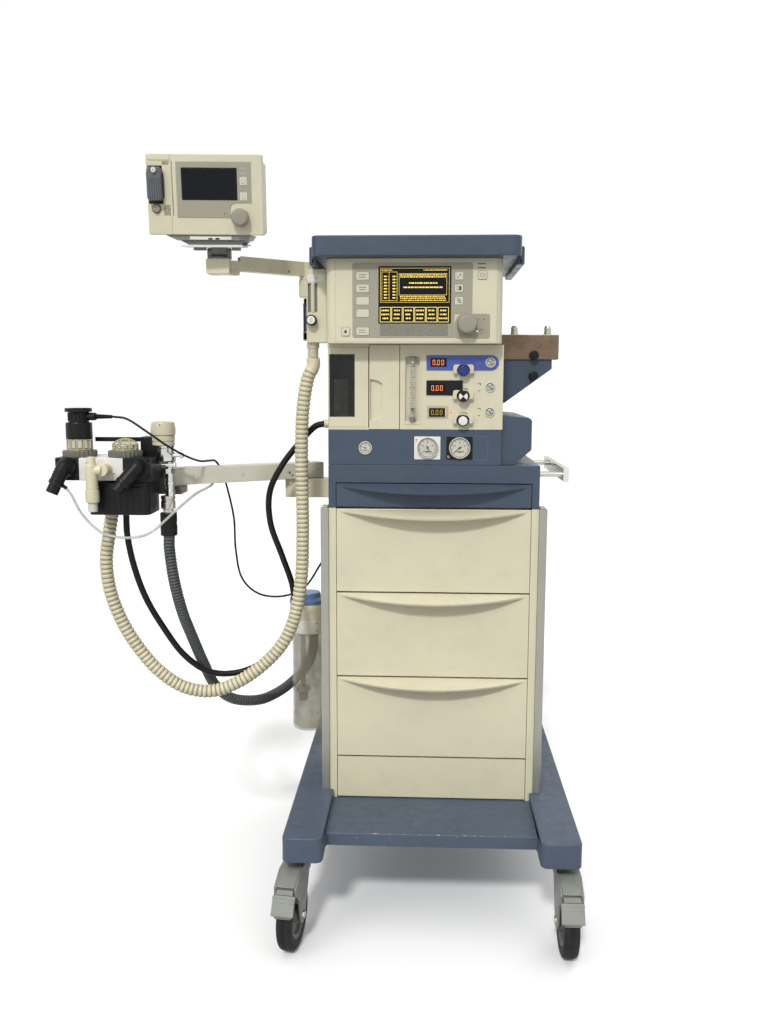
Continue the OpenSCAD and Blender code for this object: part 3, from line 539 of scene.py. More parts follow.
    def node(self, name, bevel=0.8, segments=2, angle=35):
        """Copy of a CAD node's shape with its edges rounded off."""
        source = NODES[name]
        bm = bmesh.new()
        bm.from_mesh(source.data)
        bmesh.ops.transform(bm, matrix=TO_ROW.inverted(), verts=bm.verts)
        bmesh.ops.remove_doubles(bm, verts=bm.verts, dist=0.002)
        bmesh.ops.dissolve_limit(
            bm, angle_limit=math.radians(1.2), verts=bm.verts, edges=bm.edges
        )
        bm.normal_update()
        if bevel:
            round_edges(bm, bm.edges, math.radians(angle), bevel, segments, False)
        index = {v: self.bm.verts.new(v.co) for v in bm.verts}
        for f in bm.faces:
            try:
                self.bm.faces.new([index[v] for v in f.verts]).material_index = self.index
            except ValueError:
                pass
        bm.free()
        return self

    def mesh(self):
        data = bpy.data.meshes.new(self.name)
        self.bm.normal_update()
        for f in self.bm.faces:
            f.smooth = True
        for e in sharp_edges(self.bm.edges, SHARP):
            e.smooth = False
        self.bm.to_mesh(data)
        self.bm.free()
        data.transform(TO_ROW)
        for m in self.materials:
            data.materials.append(m)
        made = bpy.data.objects.new(self.name, data)
        bpy.context.scene.collection.objects.link(made)
        made.modifiers.new("normals", "WEIGHTED_NORMAL").keep_sharp = True
        return made

    def done(self, *replaced):
        """Makes the object, hangs it on its body and hides the CAD nodes that it replaces."""
        made = self.mesh()
        if self.body:
            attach(made, self.body)
        if replaced:
            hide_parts(*replaced)
        return made


def plain(name, node, slot, material, bevel, segments):
    """Piece of the machine's body that is one CAD node with its edges rounded off."""
    Piece(name, "machine", slot).use(material).node(node, bevel, segments).done(node)


# ---- hoses ----

ROUTES = {
    "ventilator_hose": [
        (-610, -20, 789.5), (-610, -20, 765), (-617, -20, 725), (-624, -20, 672), (-618, -20, 615),
        (-598, -20, 558), (-570, -18, 508), (-532, -15, 460), (-484, -10, 425), (-428, -6, 416),
        (-375, -1, 435), (-326, 6, 470), (-288, 12, 514), (-266, 19, 570), (-255, 23, 640),
        (-252, 25, 720), (-252, 25, 800), (-253, 26, 880), (-250, 27, 960), (-241, 30, 1018),
        (-230, 32, 1044), (-230, 32, 1059.5),
    ],
    "fresh_gas_hose": [
        (-212, 60, 934.5), (-232, 60, 928), (-262, 57, 896), (-296, 55, 852), (-320, 54, 800),
        (-319, 55, 738), (-297, 58, 672), (-278, 60, 612), (-276, 60, 556), (-296, 56, 500),
        (-340, 47, 458), (-390, 36, 440), (-442, 24, 446), (-488, 15, 482), (-525, 8, 538),
        (-556, 2, 598), (-575, -4, 660), (-585, -8, 720), (-586, -8, 765), (-586, -8, 789.5),
    ],
    "scavenging_hose": [
        (-494, -45, 729.5), (-494, -45, 700), (-488, -40, 640), (-479, -20, 575), (-468, 12, 515),
        (-456, 42, 458), (-438, 64, 404), (-408, 88, 369), (-364, 130, 352), (-332, 185, 350),
        (-306, 240, 358), (-276, 264, 388), (-262, 264, 430), (-262, 264, 486),
    ],
    "sensor_cable": [
        (-577, -90, 952), (-550, -96, 948), (-515, -98, 926), (-484, -88, 902), (-460, -50, 880),
        (-444, -2, 866), (-434, 40, 863), (-428, 65, 860), (-420, 84, 838), (-410, 95, 795),
        (-400, 97, 740),
        (-397, 93, 680), (-385, 90, 622), (-350, 87, 590), (-300, 86, 586), (-256, 86, 606),
        (-226, 86, 650), (-212, 86, 674), (-205, 86, 676),
    ],
    "sampling_line": [
        (-653, -129, 826), (-645, -126, 812), (-630, -117, 776), (-598, -115, 745),
        (-560, -115, 736), (-525, -115, 739), (-500, -112, 752), (-470, -80, 782),
        (-446, -34, 806), (-434, 8, 813), (-429, 38, 818), (-428, 43, 834),
    ],
}


def make_hose(name, material, diameter, slot, ribs=None, cuffs=(0, 0),
              across=None, sides=16):
    """Hose along its route; ribs is (pitch, depth), cuffs are plain lengths at its two ends."""
    step = ribs[0] / 6 if ribs else min(6.0, diameter * 0.6)
    path, length = smooth_path(ROUTES[name], step)
    radii = []
    for i in range(len(path)):
        along = i * length / (len(path) - 1)
        r = diameter / 2
        if ribs and cuffs[0] < along < length - cuffs[1]:
            wave = 0.5 + 0.5 * math.cos(2 * math.pi * along / ribs[0])
            r -= ribs[1] * (1 - wave**0.45)
        elif ribs:
            r -= ribs[1] * 0.25
        radii.append(r)
    hose = Piece(name + "_skin", slot=slot).use(material)
    skin = hose.swept(path, radii, sides)
    if ribs:
        # painted shade: faces deep in the grooves between the ribs take a darker copy of the hose
        # material
        hose.use(material + "_painted_groove_shade")
        floor = diameter / 2 - ribs[1] * 0.72
        for i in range(len(path) - 1):
            if min(radii[i], radii[i + 1]) < floor:
                for face in skin[i * sides : (i + 1) * sides]:
                    face.material_index = hose.index
    made = hose.mesh()
    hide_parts(name)
    if across:
        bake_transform(made)
    else:
        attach(made, "breathing_arm")


def make_hoses():
    make_hose("ventilator_hose", "hose_cream", 26, "cream_rubber", (9.0, 2.1), (26, 22),
              across=((-600, -20, 500), (-290, 12, 520)), sides=20)
    make_hose("fresh_gas_hose", "hose_black", 12, "black_rubber",
              across=((-575, 0, 560), (-290, 58, 600)))
    make_hose("scavenging_hose", "hose_grey", 22, "grey_rubber", (6.0, 1.6), (8, 10),
              across=((-486, -35, 560), (-335, 180, 380)), sides=18)
    make_hose("sensor_cable", "hose_black", 4, "black_rubber",
              across=((-420, 90, 740), (-290, 86, 640)), sides=10)
    make_hose("sampling_line", "tube_clear", 5, "clear", sides=10)


# ---- base and casters ----

CASTERS = {
    "front_left": (-245, -152, -8),
    "front_right": (245, -152, 0),
    "rear_left": (-228, 392, 172),
    "rear_right": (228, 392, 188),
}


def make_base():
    base = Piece("base_frame_paint", "machine", "blue_paint").use("base_blue")
    base.node("base_frame", 2.4, 3)
    base.use("print_light")
    for _ in range(14):
        x = rng.uniform(-120, 190)
        w = rng.uniform(0.8, 2.6)
        base.box((x, x + w), (-150.2, -149.2), (198.6 + rng.random(), 200.25), 0)
    base.done("base_frame")

    columns = Piece("side_column_profiles", "machine", "aluminium").use("aluminium")
    columns.node("side_columns", 0.8, 2)
    columns.use("cream_dark")
    for s in (-1, 1):
        for y in (16, 376):
            x = s * 206.5
            columns.box((x - 5, x + 5), (y - 15, y + 15), (778, 780.5), 0.8)
    columns.done("side_columns")


def caster_frame(name):
    x, y, turn = CASTERS[name]
    return Matrix.Translation((x, y, 0)) @ Matrix.Rotation(math.radians(turn), 4, "Z")


def make_caster(name):
    at = caster_frame(name)
    fork = Piece(name + "_fork_cover", name + "_fork", "caster_grey").use("caster")
    fork.node(name + "_fork", 1.8, 3)
    fork.at = at
    fork.plate([(-44, 152), (-77.4, 135.2), (-77.4, 133.5), (-58, 133.5), (-58, 143), (-44, 150)],
               (-16.2, 16.2), 0.6)
    fork.use("steel")
    for s in (-1, 1):
        fork.turned([(7.5, 0), (7.5, 2.4), (6.5, 3.2), (4.5, 3.2), (4, 2.0), (0, 2.0)],
                    (s * 20.8, *AXLE[1:]), (s, 0, 0), 6)
    fork.turned([(18.1, 152), (18.6, 154), (18.6, 160), (18.1, 162)], (0, 0, 0))
    fork.done(name + "_fork")

    wheel = Piece(name + "_wheel_tyre", name + "_wheel", "tyre", at).use("tyre")
    half, r = 14, WHEEL_RADIUS
    tread = [(r - 20, half - 1)]
    tread += [around(r - 8, half - 8, 8, 90 - 9 * i) for i in range(11)]
    tread += [(r, 3.2), (r - 0.9, 2.4), (r - 0.9, 1.6), (r, 0.8)]
    hub = [(r - 20, half - 1), (r - 21, half - 2.5), (r - 24, half - 3), (r - 27, half - 2.6),
           (r - 28, half - 6), (r - 30, 5.5), (16, 4.5), (14, half - 2), (12, half - 0.4),
           (5.1, half - 0.2)]
    for material, half_profile in (("tyre", tread), ("hub", hub)):
        mirrored = [(a, -b) for a, b in reversed(half_profile)]
        wheel.use(material).turned(half_profile + mirrored, AXLE, (1, 0, 0), 72)
    for k in range(5):
        inner, outer = (around(AXLE[1], AXLE[2], d, 72 * k) for d in (13, 35))
        wheel.rod((0, *inner), (0, *outer), 4.4, 0.5, 12)
    wheel.done(name + "_wheel")


def make_pedal(name, caster):
    at = caster_frame(caster)
    pedal = Piece(name + "_tread", name, "caster_grey", at).use("caster")
    pedal.rod((-21, -70, 126), (21, -70, 126), 3, 0.4)
    pedal.rod((-15.7, -70, 126), (15.7, -70, 126), 6, 0.8)
    pedal.plate([(-66, 131), (-80, 130), (-101, 92), (-98, 86), (-92, 86), (-66, 120)],
                (-15, 15), 1.5)
    pedal.plate([(-85.5, 124), (-102.6, 94), (-98.4, 92), (-81, 121)], (-20, 20), 0.8)
    lean = math.atan2(38, 21)
    c, s = math.cos(lean), math.sin(lean)
    for i in range(6):
        y, z = -82 - i * 3.4, 125 - i * 6.2
        outline = [(y + c * a - s * b, z + s * a + c * b) for a, b in
                   ((-2.6, -4), (2.6, -4), (2.4, 2.0), (0.8, 3.0), (-1.2, 3.0), (-2.6, 1.6))]
        w = 21 - 0.5 * i if i else 15.6
        pedal.plate(outline, (-w, w), 0.9)
    pedal.done(name)


# ---- cabinet ----


def make_cabinet():
    shell = Piece("cabinet_shell_paint", "machine", "cream_paint").use("cream_paint")
    shell.node("cabinet_shell", 0.9, 2)
    # painted shade: dark strips behind the gaps between the drawer fronts, where the gaps fall into
    # shade
    shell.use("painted_gap_shade")
    for z in (286, 448, 615):
        shell.box((-187, 187), (17.6, 18.8), (z - 2.9, z + 2.9), 0.2)
    shell.done("cabinet_shell")
    plain("cabinet_top_paint", "cabinet_top", "blue_paint", "blue", 1.2, 2)
    for level, colour in (("blue", "blue"), ("upper", "cream"), ("middle", "cream"),
                          ("lower", "cream")):
        name = level + "_drawer"
        drawer = Piece(name + "_moulding", name, colour + "_plastic").use(colour)
        drawer.node(name, 0.9, 2, 30)
        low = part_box(name)[0].z / MM
        drawer.use("steel")
        for s in (-1, 1):
            for y in (60, 300):
                drawer.screw((s * 166, y, low + 22), (-s, 0, 0), 2.6)
        drawer.done(name)


def make_back_panels():
    """Service panels on the back, which the photo does not show: plain plates with
    screws and a field of louvres."""
    for name, x, back, z, places, (left, right, low, count) in (
        ("cabinet_back_panel", (-176, 176), 400, (216, 762), (-1, 0, 1), (-70, 70, 640, 9)),
        ("head_back_panel", (-184, 108), 300, (940, 1072), (-1, 1), (-150, -60, 975, 8)),
    ):
        plate = Piece(name, "machine", "cream_paint").use("cream_paint")
        plate.box(x, (back - 0.5, back + 1.4), z, 0.7)
        centre = ((x[0] + x[1]) / 2, (z[0] + z[1]) / 2)
        half = ((x[1] - x[0]) / 2 - 9, (z[1] - z[0]) / 2 - 9)
        plate.use("steel")
        for i in places:
            for k in places:
                if i or k:
                    plate.screw((centre[0] + i * half[0], back + 1.4, centre[1] + k * half[1]),
                                (0, 1, 0), 3)
        for k in range(count):
            slot = low + 8.5 * k
            # painted shade: a dark strip in each louvre slot, where the slot falls into shade
            plate.use("painted_gap_shade").box((left, right), (back + 1.2, back + 1.7), (slot, slot + 3.2),
                                    0.2)
            plate.use("cream_paint").plate(
                [(back + 1.2, slot + 3.2), (back + 4.2, slot + 2.6), (back + 3.4, slot + 4.2),
                 (back + 1.2, slot + 6)], (left - 1, right + 1), 0.3)
        plate.done()


# ---- gauges ----


def radial(x, z, angle, r0, r1, w0, w1=None):
    """Outline of a bar that points away from a dial's centre; angles clockwise from the top."""
    w1 = w0 if w1 is None else w1
    a = math.radians(90 - angle)
    d, e = (math.cos(a), math.sin(a)), (-math.sin(a), math.cos(a))
    return [
        (x + d[0] * r + e[0] * w, z + d[1] * r + e[1] * w)
        for r, w in ((r0, w0), (r1, w1), (r1, -w1), (r0, -w0))
    ]


def dial(piece, x, z, y, r, needle, minor=40):
    """Gauge with bezel, face, scale and needle; y is the plane that it stands on."""
    piece.use("key_white")
    piece.turned([(r, -0.5), (r, r * 0.2), (r - 0.6, r * 0.25), (r - 1.4, r * 0.25),
                  (r - 2.0, r * 0.19), (r - 2.1, 0.4)], (x, y, z), OUT, 48)
    piece.use("ink").turned([(r - 1.9, r * 0.12), (r - 3.0, r * 0.12), (r - 3.0, r * 0.08)],
                            (x, y, z), OUT, 48)
    piece.use("dial_face").turned([(r - 1.9, r * 0.1), (0, r * 0.1)], (x, y, z), OUT, 48)
    face = y - r * 0.1
    mark = (face - 0.12, face + 0.1)
    piece.use("ink")
    for k in range(minor + 1):
        major = k % 5 == 0
        a = -135 + 270 * k / minor
        start, width = (0.62, 0.38) if major else (0.72, 0.16)
        piece.slab(radial(x, z, a, r * start, r * 0.83, width), mark, 0)
    for k in range(0, minor + 1, 10):
        a = -135 + 270 * k / minor
        piece.slab(radial(x, z, a, r * 0.42, r * 0.56, r * 0.05), mark, 0)
    piece.slab(rounded((x - r * 0.22, x + r * 0.22), (z - r * 0.44, z - r * 0.30), 0.3, 2), mark, 0)
    piece.use("black")
    piece.slab(radial(x, z, needle, -r * 0.2, r * 0.7, r * 0.05, r * 0.012),
               (face - 0.8, face - 0.45), 0)
    piece.turned([(r * 0.1, 0), (r * 0.1, 1.0), (r * 0.06, 1.3), (0, 1.3)], (x, face, z), OUT, 20)


def make_gauges():
    housing = Piece("gauge_housing_moulding", "machine", "blue_plastic").use("blue")
    housing.node("gauge_housing", 1.3, 2)
    housing.use("label_blue")
    for x, z in (((21, 101), (914.2, 914.7)), ((21, 101), (870.3, 870.8)),
                 ((100.5, 101), (870.3, 914.7))):
        housing.box(x, (1.85, 2.1), z, 0)
    housing.done("gauge_housing")

    gauges = Piece("pressure_gauge_dials", "machine", "dial").use("white")
    gauges.slab(rounded((-37, 12), (871, 914), 1.5), (0.5, 2), 0.3)
    gauges.use("black").slab(rounded((23, 72), (871, 914), 1.5), (0.5, 2), 0.3)
    gauges.use("ink")
    for z in (908, 904.8):
        gauges.box((-35, -31), (0.35, 0.6), (z, z + 1), 0)
    gauges.use("white")
    for z in (877, 874):
        gauges.box((25, 29), (0.35, 0.6), (z, z + 0.9), 0)
    dial(gauges, -12, 893, 0.5, 20, 152)
    dial(gauges, 48, 893, 0.5, 20, -128)
    dial(gauges, -129, 892, 2, 12.5, -70, 20)
    for z, y, needle in zip(SMALL_DIALS, (0.5, 2, 2), (160, 150, 155)):
        dial(gauges, 103, z, y, 9.4, needle, 15)
        gauges.use("ring")
        for a in (-62, 40, 118):
            gauges.slab(radial(103, z, a, 2.2, 5.6, 0.5, 1.5), (y - 1.15, y - 0.9), 0)
    gauges.done("pressure_gauges")
    glasses = Piece("pressure_gauge_glasses", "machine", "clear").use("glass")
    for x, z, y, r in ((-12, 893, 0.5, 18), (48, 893, 0.5, 18), (-129, 892, 2, 10.6)):
        glasses.turned([(r, r * 0.2), (r * 0.6, r * 0.235), (0, r * 0.25)], (x, y, z), OUT)
    glasses.done()


# ---- flow controls and ventilator ----


def zero(piece, x, z, h, y):
    """Seven-segment figure 0, its lower left corner at x, z."""
    w, t, mid = h * 0.5, h * 0.11, z + h / 2
    for bx, bz in (((x, x + w), (z + h - t, z + h)), ((x + w - t, x + w), (mid, z + h)),
                   ((x + w - t, x + w), (z, mid)), ((x, x + w), (z, z + t)),
                   ((x, x + t), (z, mid)), ((x, x + t), (mid, z + h))):
        piece.box((bx[0] + 0.1, bx[1] - 0.1), (y - 0.1, y + 0.1), (bz[0] + 0.1, bz[1] - 0.1), 0)


def display(piece, x, z, y, lit):
    """Dark window with three figures and a point."""
    piece.use("screen").slab(rounded((x, x + 30), (z, z + 16), 1), (y - 0.25, y + 0.3), 0.2)
    piece.use(lit)
    for dx in (4.0, 12.5, 20.2):
        zero(piece, x + dx, z + 3.2, 9.6, y - 0.3)
    piece.box((x + 10.3, x + 11.4), (y - 0.4, y - 0.2), (z + 3.2, z + 4.4), 0)


def make_flow_controls():
    panel = Piece("flow_panel_moulding", "machine", "cream_plastic").use("cream")
    panel.node("flow_panel", 0.3, 2)
    panel.use("blue_strip").slab(
        [(-15.3, 1036.7)] + arc(104.5, 1050.5, 13.8, -90, 90, 12) + [(-15.3, 1064.3)],
        (0.3, 1.4), 0.3)
    panel.use("black").slab(rounded((-15.3, 52.3), (990.7, 1018.3), 2), (0.3, 1.4), 0.3)
    panel.use("cream_dark").slab(rounded((-14, 26), (947, 971), 2), (1.7, 2.1), 0.2)
    display(panel, -8, 1043, 0.3, "led_orange")
    display(panel, -10, 996, 0.3, "led_orange")
    display(panel, -10, 951, 0.5, "amber_dim")
    panel.use("led_red").turned([(1.6, -1), (1.6, 0.8), (1.0, 1.4), (0, 1.6)], (31, 2, 959), OUT,
                                16)
    panel.use("ink")
    for (_, z, _, _), y in zip(FLOW_KNOBS, (0.2, 0.2, 1.9)):
        for k in range(9):
            grow = 0.25 + 0.11 * k
            panel.slab(radial(FLOW_KNOB_X, z, -34 + 8.5 * k, 14.6, 14.6 + grow, 1.05),
                       (y - 0.05, y + 0.15), 0)
    for z in SMALL_DIALS:
        y = (1.8, 2.1) if z < 1040 else (0.15, 0.4)
        for x, low, high in (((80, 86), 6, 6.9), ((84.6, 85.6), 2.8, 6.9), ((81, 85), -7.5, -6.2)):
            panel.box(x, y, (z + low, z + high), 0)
    panel.use("cream")
    ear = [around(0, 0, 12, a) for a in range(-24, 62, 6)]
    ear += [(9.5, 11.3), (14.5, 11.3), (17.2, 9.8), (18.9, 6), (18.9, -1.5), (17, -5.2)]
    for _, z, _, _ in FLOW_KNOBS:
        for s in (-1, 1):
            panel.slab([(FLOW_KNOB_X + s * x, z + dz) for x, dz in ear], (-7.3, 2.2), 0.9)
    panel.done("flow_panel")

    plain("flow_tube_glass", "flow_tube", "clear", "glass", 0.4, 2)
    parts = Piece("flow_tube_scale", "machine", "steel")
    for z in (943.5, 1053.5):
        parts.use("ring").turned([(0, 0), (5.6, 0), (5.6, 7), (4, 7.4), (0, 7.4)], (-41, 1, z),
                                 n=60, flutes=(10, 0.8, 0.2, 6.9))
        parts.use("steel")
        parts.turned([(2.6, 0), (2.6, 4), (0, 4)], (-41, 1, z + (7 if z < 1000 else -4)))
    parts.use("black").turned([(0, -3.2), (2.2, -2.4), (3.2, 0), (2.2, 2.4), (0, 3.2)],
                              (-41, 1, 964))
    parts.use("ink")
    for k in range(17):
        z = 966 + 4.8 * k
        w = 5.2 if k % 2 == 0 else 3
        parts.box((-41 - w, -41 + (w if k % 4 == 0 else 0.5)), (-5.6, -5.2), (z, z + 0.75), 0)
    parts.use("foil_light").box((-49, -33), (8.2, 8.8), (944, 1060), 0.3)
    parts.done()


def make_knobs():
    x = FLOW_KNOB_X
    for node, z, side, slot in FLOW_KNOBS:
        knob = Piece(node + "_grip", node, slot).use(side)
        knob.turned([(0, 0), (10.3, 0), (10.7, 0.6), (10.2, 13.8), (9.6, 15.1), (8.3, 15.8),
                     (7.1, 16), (3.745, 15.6), (0, 15.6)], (x, 1.0, z), OUT, 72,
                    (18, 0.3, 0.5, 13))
        knob.rod((x, 1.5, z), (x, 11, z), 4, 0.3)
        cap = (x, -14.6, z)
        if node == "white_flow_knob":
            knob.use("white").turned([(8.3, 0), (8.3, 0.9), (7.4, 1.4), (0, 1.4)], cap, OUT, 36)
        elif node == "black_flow_knob":
            for k in range(4):
                knob.use("white" if k % 2 else "black")
                a = 45 + 90 * k
                knob.slab([(x, z)] + arc(x, z, 8.2, a, a + 90, 8), (-15.9, -14.6), 0)
        else:
            knob.turned([(8.6, 0), (8.2, 0.8), (7.6, 1.1), (0, 1.1)], cap, OUT, 36)
        knob.done(node)

    aux = Piece("auxiliary_knob_grip", "auxiliary_knob", "white_plastic").use("black")
    aux.turned([(0, 0), (9.3, 0), (9.8, 0.6), (9.8, 13), (9, 14.6), (0, 14.6)],
               (-229, 11.7, 1128), OUT, 64, (20, 0.2, 0.5, 13))
    aux.rod((-229, 11, 1128), (-229, 24, 1128), 3, 0.3)
    aux.use("white").turned([(7.4, 0), (7.4, 2.4), (6.4, 3.1), (0, 3.1)], (-229, -2.9, 1128), OUT)
    aux.use("ink").turned([(2.4, 0), (2.4, 0.12), (1.9, 0.12), (1.9, 0)], (-229, -6.0, 1129.5), OUT)
    aux.box((-229.3, -228.7), (-6.1, -5.9), (1123.6, 1127), 0)
    aux.done("auxiliary_knob")

    control = Piece("control_knob_grip", "control_knob", "knob_grey").use("knob_grey")
    control.turned([(0, 0), (17.6, 0), (18, 0.8), (17.9, 14), (17.2, 18.6), (15.4, 21),
                    (12.5, 21.8), (0, 21.4)], (57, -35.7, 1118), OUT, 96, (36, 0.12, 1, 15))
    control.rod((57, -36, 1118), (57, -23.5, 1118), 3, 0.3)
    control.use("foil").turned([(4.6, 0), (4.2, 0.35), (3.4, 0.1), (0, 0.05)],
                               (68.3, -57.2, 1120.5), OUT, 28)
    control.done("control_knob")


def make_ventilator():
    plain("head_housing_shell", "head_housing", "cream_paint", "cream_paint", 0.9, 2)
    # painted shade: a dark box lining the ventilator bay behind its window, where the bay lies in
    # shade
    bay_shade = Piece("ventilator_bay_painted_shade", "machine").use("painted_shade_inside")
    for x, y, z, r in (((-195.8, -126.2), (198.6, 199.6), (931, 1079), 0.2),
                       ((-195.9, -195.3), (16, 199), (931, 1079), 0.1),
                       ((-126.7, -126.1), (16, 199), (931, 1079), 0.1),
                       ((-195.8, -126.2), (16, 199), (1078.9, 1079.5), 0.1)):
        bay_shade.box(x, y, z, r)
    bay_shade.use("cream_dark").box((-190, -163), (22, 24), (940, 1020), 0.6)
    bay_shade.done()
    plain("access_panel_moulding", "access_panel", "cream_plastic", "cream", 0.8, 3)
    plain("ventilator_cylinder_glass", "ventilator_cylinder", "clear", "glass", 0.4, 2)
    piston = Piece("ventilator_piston_head", "ventilator_piston", "knob_grey").use("key_grey")
    grooves = [p for h in (4, 14) for p in ((23.95, h), (22.8, h + 0.4), (22.8, h + 2.4),
                                            (23.95, h + 2.8))]
    piston.turned([(0, 0), (22.4, 0), (23.95, 1), *grooves, (23.95, 21), (22.5, 22), (0, 22)],
                  (-168, 70, 946), n=48)
    piston.use("steel").rod((-168, 70, 960), (-168, 70, 1008), 6, 1)
    piston.done("ventilator_piston")

    door = Piece("ventilator_door_frame", "ventilator_door", "cream_plastic").use("cream")
    for x, front, z, r in (
        ((-149, -123.3), 2, (931, 1079), 0.9), ((-193, -148), 2, (1066, 1079), 0.9),
        ((-193, -148), 2, (931, 950), 0.9), ((-186, -148), 5.3, (1064, 1067), 0.2),
        ((-186, -148), 5.3, (949, 952), 0.2), ((-151, -148), 5.3, (949, 1067), 0.2),
        ((-193, -186), 5.3, (931, 949.6), 0.3), ((-193, -186), 5.3, (1066.4, 1079), 0.3),
    ):
        door.box(x, (front, 14), z, r)
    door.use("black").box((-193, -189), (5.4, 13.8), (949.6, 1066.4), 0.3).use("cream")
    door.turned([(0, 0), (5.4, 0), (6, 0.6), (6, 18.9), (5.4, 19), (0, 19)], (-193, 8, 931))
    door.turned([(0, 0), (5.4, 0), (6, 0.1), (6, 12.4), (5.4, 13), (0, 13)], (-193, 8, 1066))
    door.use("black").turned([(3.1, 950), (3.1, 1066)], (-193, 8.4, 0))
    door.use("steel").rod((-193, 8, 927), (-193, 8, 1083), 2.45, 0.3)
    door.use("cream_dark")
    door.box((-197, -196.2), (2.2, 5), (950.2, 1065.8), 0)
    door.done("ventilator_door")
    pane = Piece("ventilator_window", "ventilator_door", "smoky").use("pane")
    pane.box((-196.9, -149.1), (2.2, 5.2), (950.1, 1065.9), 0.5)
    pane.done()


# ---- control head and tray ----


def foil_key(piece, x, z, w, h, cap="foil_light", icon=None):
    """Membrane key: raised field with a thin printed edge and a simple generic sign."""
    y = FRONT - 1.1
    piece.use("ink").slab(rounded((x - 0.4, x + w + 0.4), (z - 0.4, z + h + 0.4), 2.0, 3),
                          (y - 0.05, y + 0.3), 0)
    piece.use(cap).slab(rounded((x, x + w), (z, z + h), 1.8, 3), (y - 0.75, y + 0.3), 0.35)
    piece.use("ink")
    top = (y - 0.83, y - 0.7)
    cx, cz = x + w / 2, z + h / 2
    if icon == "ring":
        piece.turned([(3.9, 0), (3.9, 0.1), (3.3, 0.1), (3.3, 0)], (cx, y - 0.72, cz), OUT, 24)
    elif icon == "slash":
        piece.slab(radial(cx, cz, 45, -4.6, 4.6, 0.35), top, 0)
        piece.slab(radial(cx, cz, 45, 2, 4.8, 1.1, 0.1), top, 0)
    elif icon == "window":
        piece.box((cx - 4, cx + 4), top, (cz - 3.4, cz + 3.4), 0)
        piece.use(cap).box((cx - 3.3, cx - 0.3), (top[0] - 0.05, top[1]), (cz - 2.6, cz + 2.6), 0)
    elif icon == "fan":
        for a in (20, 60, 100):
            piece.slab(radial(cx - 3, cz - 2, a, 1, 7, 0.2, 1.1), top, 0)
    elif icon == "power":
        piece.turned([(3.6, 0), (3.6, 0.1), (3.0, 0.1), (3.0, 0)], (cx, y - 0.72, cz), OUT, 24)
        piece.box((cx - 0.35, cx + 0.35), top, (cz, cz + 4.4), 0)
    elif icon == "bell":
        piece.slab([(cx - 3, cz - 2.6), (cx + 3, cz - 2.6), (cx + 2.0, cz + 0.6)]
                   + arc(cx, cz + 0.8, 1.9, 0, 180, 8) + [(cx - 2.0, cz + 0.6)], top, 0)
    piece.use("ink").turned([(0.55, 0), (0.55, 0.15), (0, 0.15)], (x + 2.2, y - 0.7, z + h - 2.2),
                            OUT, 10)


def text_row(piece, x, z, y, width, height):
    """Row of short bars that stands for running text, with no letters in it."""
    at = x
    while at < x + width - 1.2:
        w = min(rng.uniform(1.0, 4.6), x + width - at)
        piece.box((at, at + w), (y - 0.12, y), (z, z + height), 0)
        at += w + rng.uniform(0.5, 1.3)


def make_screen(piece):
    y = FRONT - 1.7
    piece.use("black").slab(rounded((-103, 28), (1119.6, 1221), 2), (FRONT - 1.6, FRONT - 0.9), 0.3)
    piece.use("screen").slab(rounded((-101, 26), (1121, 1219), 1.2), (y - 0.1, y + 0.4), 0)
    y -= 0.1
    piece.use("amber")
    edge = 0.55
    for x0, x1, z0, z1 in ((-99.5, 24.5, 1157, 1217.5), (-97, -69, 1160, 1211),
                           (-66, 20, 1170, 1208), (-84, -83.4, 1160, 1211)):
        piece.box((x0, x1), (y - 0.12, y), (z1 - edge, z1), 0)
        piece.box((x0, x1), (y - 0.12, y), (z0, z0 + edge), 0)
        piece.box((x0, x0 + edge), (y - 0.12, y), (z0, z1), 0)
        piece.box((x1 - edge, x1), (y - 0.12, y), (z0, z1), 0)
    for x in (-93, -77.5):
        for k in range(8):
            z = 1164 + 5.4 * k
            piece.box((x, x + 5), (y - 0.12, y), (z, z + 2.2), 0)
            piece.box((x + 7, x + 8.2), (y - 0.12, y), (z + 0.6, z + 1.6), 0)
    for x, z, width, height in (
        (-64, 1204.4, 82, 1.9), (-64, 1201, 82, 1.9), (-48, 1190, 52, 2.4), (-58, 1182.5, 72, 2.4),
        (-64, 1167, 82, 1.7), (-64, 1163.7, 82, 1.7), (-64, 1160, 84, 1.6), (-97, 1213.2, 20, 1.5),
        (-22, 1213.2, 44, 1.5),
    ):
        text_row(piece, x, z, y, width, height)
    for k in range(6):
        x = -100.2 + 20.85 * k
        piece.use("amber").slab(rounded((x, x + 19.9), (1122, 1149), 0.8, 2), (y - 0.12, y), 0)
        piece.use("screen").slab(rounded((x + 1, x + 18.9), (1123, 1148), 0.5, 2), (y - 0.16, y), 0)
        piece.use("amber")
        for i in range(3):
            w = rng.uniform(9, 15)
            text_row(piece, x + 9.9 - w / 2, 1141.6 - 7 * i, y - 0.06, w, 2.6)


